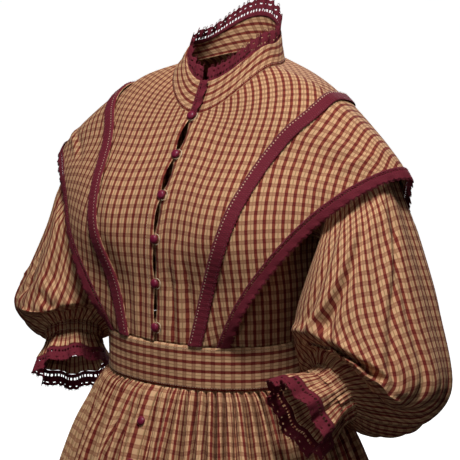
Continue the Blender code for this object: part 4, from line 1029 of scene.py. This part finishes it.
def collar():
    look = collarValues
    angles = np.linspace(look["open"], 360 - look["open"], 180)[None]
    shares = np.concatenate([[0.0, 0.02], np.linspace(0.06, 0.94, 22), [0.98, 1.0]])
    stand = collarPoint(shares[:, None], angles)
    stand[0, :, 2] -= 0.03
    out = outOf(stand)
    edge = -0.08 * (1 - smooth(np.minimum(shares, 1 - shares), 0, 0.06)) ** 2
    soft = creased(*np.broadcast_arrays(angles * 0.11, shares[:, None] * 5), look["creases"])
    stand = stand + out * (soft + edge[:, None])[..., None]
    run, up = lengths(stand, 1), lengths(stand, 0)
    makeSheet("collar_cloth", "collar", stand, np.stack([up + 0.2, run], -1), "stretched", ["bodice_back_cloth"],
              thick=0.18)
    outs = outOf(stand)
    sewn = stitches(stand[3], outs[3]) + stitches(stand[-4], outs[-4])
    threads("collar_stitches", sewn, 0.02)
    # the lace stands inside the top edge, in small waves, and runs down the right front end
    look = ruffleValues
    many = np.linspace(collarValues["open"], 360 - collarValues["open"], 420)
    base, below = collarPoint(1.0, many), collarPoint(0.75, many)
    upWay = unit(base - below)
    outWay = unit((base - np.array([0.0, 5.2, 0.0])) * [1, 1, 0])
    run = lengths(base, 0)
    shares = np.linspace(0, 1, 15)[:, None]
    wide = collarValues["open"]
    wave = np.sin(math.pi * 2 * look["waves"] * (many - wide) / (360 - 2 * wide) + math.pi / 2)
    high = look["high"] - 0.18 + 0.18 * np.abs(np.sin(math.pi * run / look["scallop"]))
    rise = shares * (high + 0.4)[None] - 0.4
    above = smooth(rise, -0.1, 0.5)
    lean = -0.24 + above * 0.12 + 0.25 * smooth(rise, 0.0, 1.9) + wave[None] * above * (0.05 + 0.2 * shares)
    grid = base + upWay * rise[..., None] + outWay * lean[..., None]
    phase = run[:-1] % look["ladder"]
    keep = np.ones((14, len(many) - 1), bool)
    keep[4:6] = (phase > look["ladder"] * 0.5)[None]
    keep[10] = (run[:-1] + 0.2) % look["scallop"] > 0.28
    place = np.stack([np.broadcast_to(run, rise.shape), rise], -1)
    makeSheet("collar_lace_lace", "collar_lace", grid, place, "gathered", ["collar_cloth"], lace, 0.05, keep=keep,
              middle=True)
    spots = [int(np.argmin(np.abs(run - reach))) for reach in np.arange(look["scallop"] / 2, run[-1], look["scallop"])]
    loops = picots(grid[-1], grid[-3], spots, 0.12, (0.2, 0.16), 10)
    threads("collar_picots", loops, 0.045, lace, 5)
    # down the right end of the collar
    ends = collarPoint(np.linspace(1.0, -0.12, 60), 360 - collarValues["open"])
    ends = ends + np.array([-0.1, -0.2, 0.0])
    run = lengths(ends, 0)
    shares = np.linspace(0, 1, 10)[:, None]
    side = unit(np.array([0.95, -0.1, 0.1]))
    wave = np.abs(np.sin(math.pi * run / look["scallop"]))
    reach = shares * (1.36 - 0.4 * smooth(run, 2.5, 5.5) + 0.14 * wave)[None]
    flutter = 0.14 * np.sin(2 * math.pi * run / 1.7)[None] * shares
    front = ends[None] + side * reach[..., None] + np.array([0.0, -1.0, 0.25]) * flutter[..., None]
    keep = np.ones((9, 59), bool)
    keep[2] = (run[:-1] % look["ladder"] > look["ladder"] * 0.5)
    place = np.stack([np.broadcast_to(run, reach.shape), reach], -1)
    makeSheet("collar_end_lace", None, front, place, "laid", ["collar_cloth"], lace, 0.05, keep=keep, middle=True)
    print("collar made")


buttonValues = {
    "radius": 0.56, "room": 0.035, "pitch": 5.42, "first": 0.6, "count": 6, "skirtZ": (-9.4, -14.2),
    "around": 40, "pleats": 11,
    # satin drawn over a mould, as radius and height: a fat dome that turns under at the cloth
    "profile": [(0.0, 0.02), (0.34, 0.0), (0.44, 0.015), (0.52, 0.06), (0.555, 0.13), (0.56, 0.19), (0.545, 0.26),
                (0.50, 0.335), (0.43, 0.40), (0.34, 0.45), (0.23, 0.483), (0.12, 0.497), (0.0, 0.502)],
}


def button(name, node, place, out):
    look = buttonValues
    out = unit(out)
    across = unit(np.cross(out, [1.0, 0.0, 0.0]))
    other = np.cross(out, across)
    profile = look["profile"]
    count = look["around"]
    turns = np.arange(count) * 2 * math.pi / count
    points, faces = [], []
    for i, (radius, high) in enumerate(profile[1:-1]):
        pleat = 1 + 0.035 * np.cos(look["pleats"] * turns + i * 0.15) * max(0.0, 1 - i / 6)
        points += list(place + out * high + (across * np.cos(turns)[:, None] + other * np.sin(turns)[:, None])
                       * (radius * pleat)[:, None])
    rings = len(profile) - 2
    points += [place + out * profile[0][1], place + out * profile[-1][1]]
    for i in range(rings - 1):
        for k in range(count):
            m = (k + 1) % count
            faces.append([i * count + k, i * count + m, (i + 1) * count + m, (i + 1) * count + k])
    for k in range(count):
        m = (k + 1) % count
        faces.append([k, rings * count, m])
        faces.append([(rings - 1) * count + k, (rings - 1) * count + m, rings * count + 1])
    if np.dot(np.cross(across, other), out) < 0:
        faces = [face[::-1] for face in faces]
    corners = [[np.dot(points[i] - place, across), np.dot(points[i] - place, other)] for face in faces for i in face]
    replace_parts(makeMesh(name, np.array(points), faces, corners, satin), node)


def buttons():
    look = buttonValues
    # the same line down the lap as the solids' buttons sit on
    coarse = np.array([0.0, 0.7, 1.4, 2.0, 2.25, 2.6, 3.1, 3.7, 4.3, 4.8, 5.0, 5.5, 6.2, 7.0])
    lap = angleAt(coarse, bodiceValues["lap"])
    sides = np.stack([torso(coarse, lap), torso(coarse, -lap)], 1)
    out = outOf(sides[:, ::-1]).mean(1)
    line = (sides.mean(1) + out * bodiceValues["lapLift"])[::-1]
    run = lengths(line, 0)
    loops = []
    for i in range(look["count"]):
        reach = look["first"] + i * look["pitch"]
        above, below = (np.array([np.interp(reach + step, run, line[:, k]) for k in range(3)])
                        for step in (-look["radius"] / 2, look["radius"] / 2))
        facing = unit(np.cross([1.0, 0.0, 0.0], above - below))
        place = (above + below) / 2 + facing * look["room"]
        button("satin_button_%d" % (i + 1), "button_%d" % (i + 1), place, facing)
        up = unit(above - below)
        spin = np.linspace(-0.62, 0.62, 9) * math.pi
        loops.append((place + facing * 0.05 + np.array([1.0, 0, 0]) * (0.25 + 0.62 * np.cos(spin))[:, None]
                      + up * (0.66 * np.sin(spin))[:, None], False))
    rows = splineAt(skirtValues["rings"], [0.0, 0.8, 2.0, 3.2, 4.6, 6.0])
    for i, z in enumerate(look["skirtZ"]):
        above, below = (np.array([0, np.interp(-high, -rows[:, 0], rows[:, 2]) - skirtValues["lapLift"], high])
                        for high in (z + look["radius"], z - look["radius"]))
        facing = unit(np.cross([1.0, 0.0, 0.0], above - below))
        place = (above + below) / 2 + facing * look["room"]
        button("satin_skirt_button_%d" % (i + 1), "skirt_button_%d" % (i + 1), place, facing)
    threads("button_loops", loops, 0.05, sides=6)
    print("buttons made")


studioValues = {
    "sky": 0.025, "floorGlow": 1.0, "floorRadius": 420.0, "floorHeight": -1.3205,
    # name, place, target and size in metres, power, colour
    "lights": [("keyLight", (0.75, -1.2, 2.4), (0.05, 0.0, -0.2), 0.8, 108.0, (1.0, 0.985, 0.96)),
               ("lowLight", (1.0, -2.9, 0.1), (0.0, 0.0, -0.35), 0.9, 7.0, (1, 1, 1)),
               ("backLight", (-0.9, 2.7, 1.2), (0.0, 0.0, -0.3), 1.2, 34.0, (1, 1, 1)),
               ("fillLight", (2.9, -1.2, 0.6), (0.1, 0.0, -0.2), 1.0, 2.5, (1, 1, 1))],
}
# the photograph's own view, from the wearer's left and a little above, in degrees, cm and pixels
viewValues = {
    "azimuth": 37.43, "height": 8.61, "away": 208.27, "target": (3.49, 0, 12.75), "focal": 1681.56, "wide": 460,
}


def floorDisc():
    look = studioValues
    turns = np.arange(48) * 2 * math.pi / 48
    radius, high = look["floorRadius"], look["floorHeight"]
    mesh = bpy.data.meshes.new("floor")
    rim = [(radius * math.cos(turn), radius * math.sin(turn), high) for turn in turns]
    mesh.from_pydata(rim, [], [list(range(len(rim)))])
    floor = bpy.data.objects.new("floor", mesh)
    bpy.context.collection.objects.link(floor)
    pale = bpy.data.materials.new("paleFloor")
    pale.use_nodes = True
    shader = pale.node_tree.nodes["Principled BSDF"]
    for label, value in (("Base Color", (0.86, 0.86, 0.86, 1)), ("Roughness", 0.9),
                         ("Emission Color", (1, 1, 1, 1)), ("Emission Strength", look["floorGlow"])):
        shader.inputs[label].default_value = value
    mesh.materials.append(pale)
    floor.visible_diffuse = False
    floor.visible_glossy = False


def studio():
    floorDisc()
    world = bpy.data.worlds.new("studio")
    bpy.context.scene.world = world
    world.use_nodes = True
    sky = world.node_tree.nodes["Background"].inputs
    sky[0].default_value, sky[1].default_value = (1, 1, 1, 1), studioValues["sky"]
    for name, place, target, size, power, colour in studioValues["lights"]:
        light = bpy.data.lights.new(name, "AREA")
        light.shape, light.size, light.energy, light.color = "DISK", size, power, colour
        lamp = bpy.data.objects.new(name, light)
        bpy.context.collection.objects.link(lamp)
        lamp.location = place
        lamp.rotation_euler = (Vector(target) - Vector(place)).to_track_quat("-Z", "Y").to_euler()
    scene = bpy.context.scene
    scene.view_settings.view_transform = "Standard"
    scene.view_settings.look = "None"
    look = viewValues
    azimuth, height = math.radians(look["azimuth"]), math.radians(look["height"])
    back = Vector((math.sin(azimuth) * math.cos(height), -math.cos(azimuth) * math.cos(height), math.sin(height)))
    right = Vector((math.cos(azimuth), math.sin(azimuth), 0))
    spot = (Vector(look["target"]) + look["away"] * back + Vector(shoulderPoint)) * 0.01
    camera = bpy.data.cameras.new("photoView")
    camera.sensor_width = 36
    camera.lens = camera.sensor_width * look["focal"] / look["wide"]
    camera.clip_start, camera.clip_end = 0.01, 2000
    view = bpy.data.objects.new("photoView", camera)
    view.matrix_world = Matrix.Translation(spot) @ Matrix((right, back.cross(right), back)).transposed().to_4x4()
    bpy.context.collection.objects.link(view)
    scene.camera = view
    print("studio set")


bodice()
overlays()
sleeves()
waistband()
skirt()
collar()
buttons()
studio()
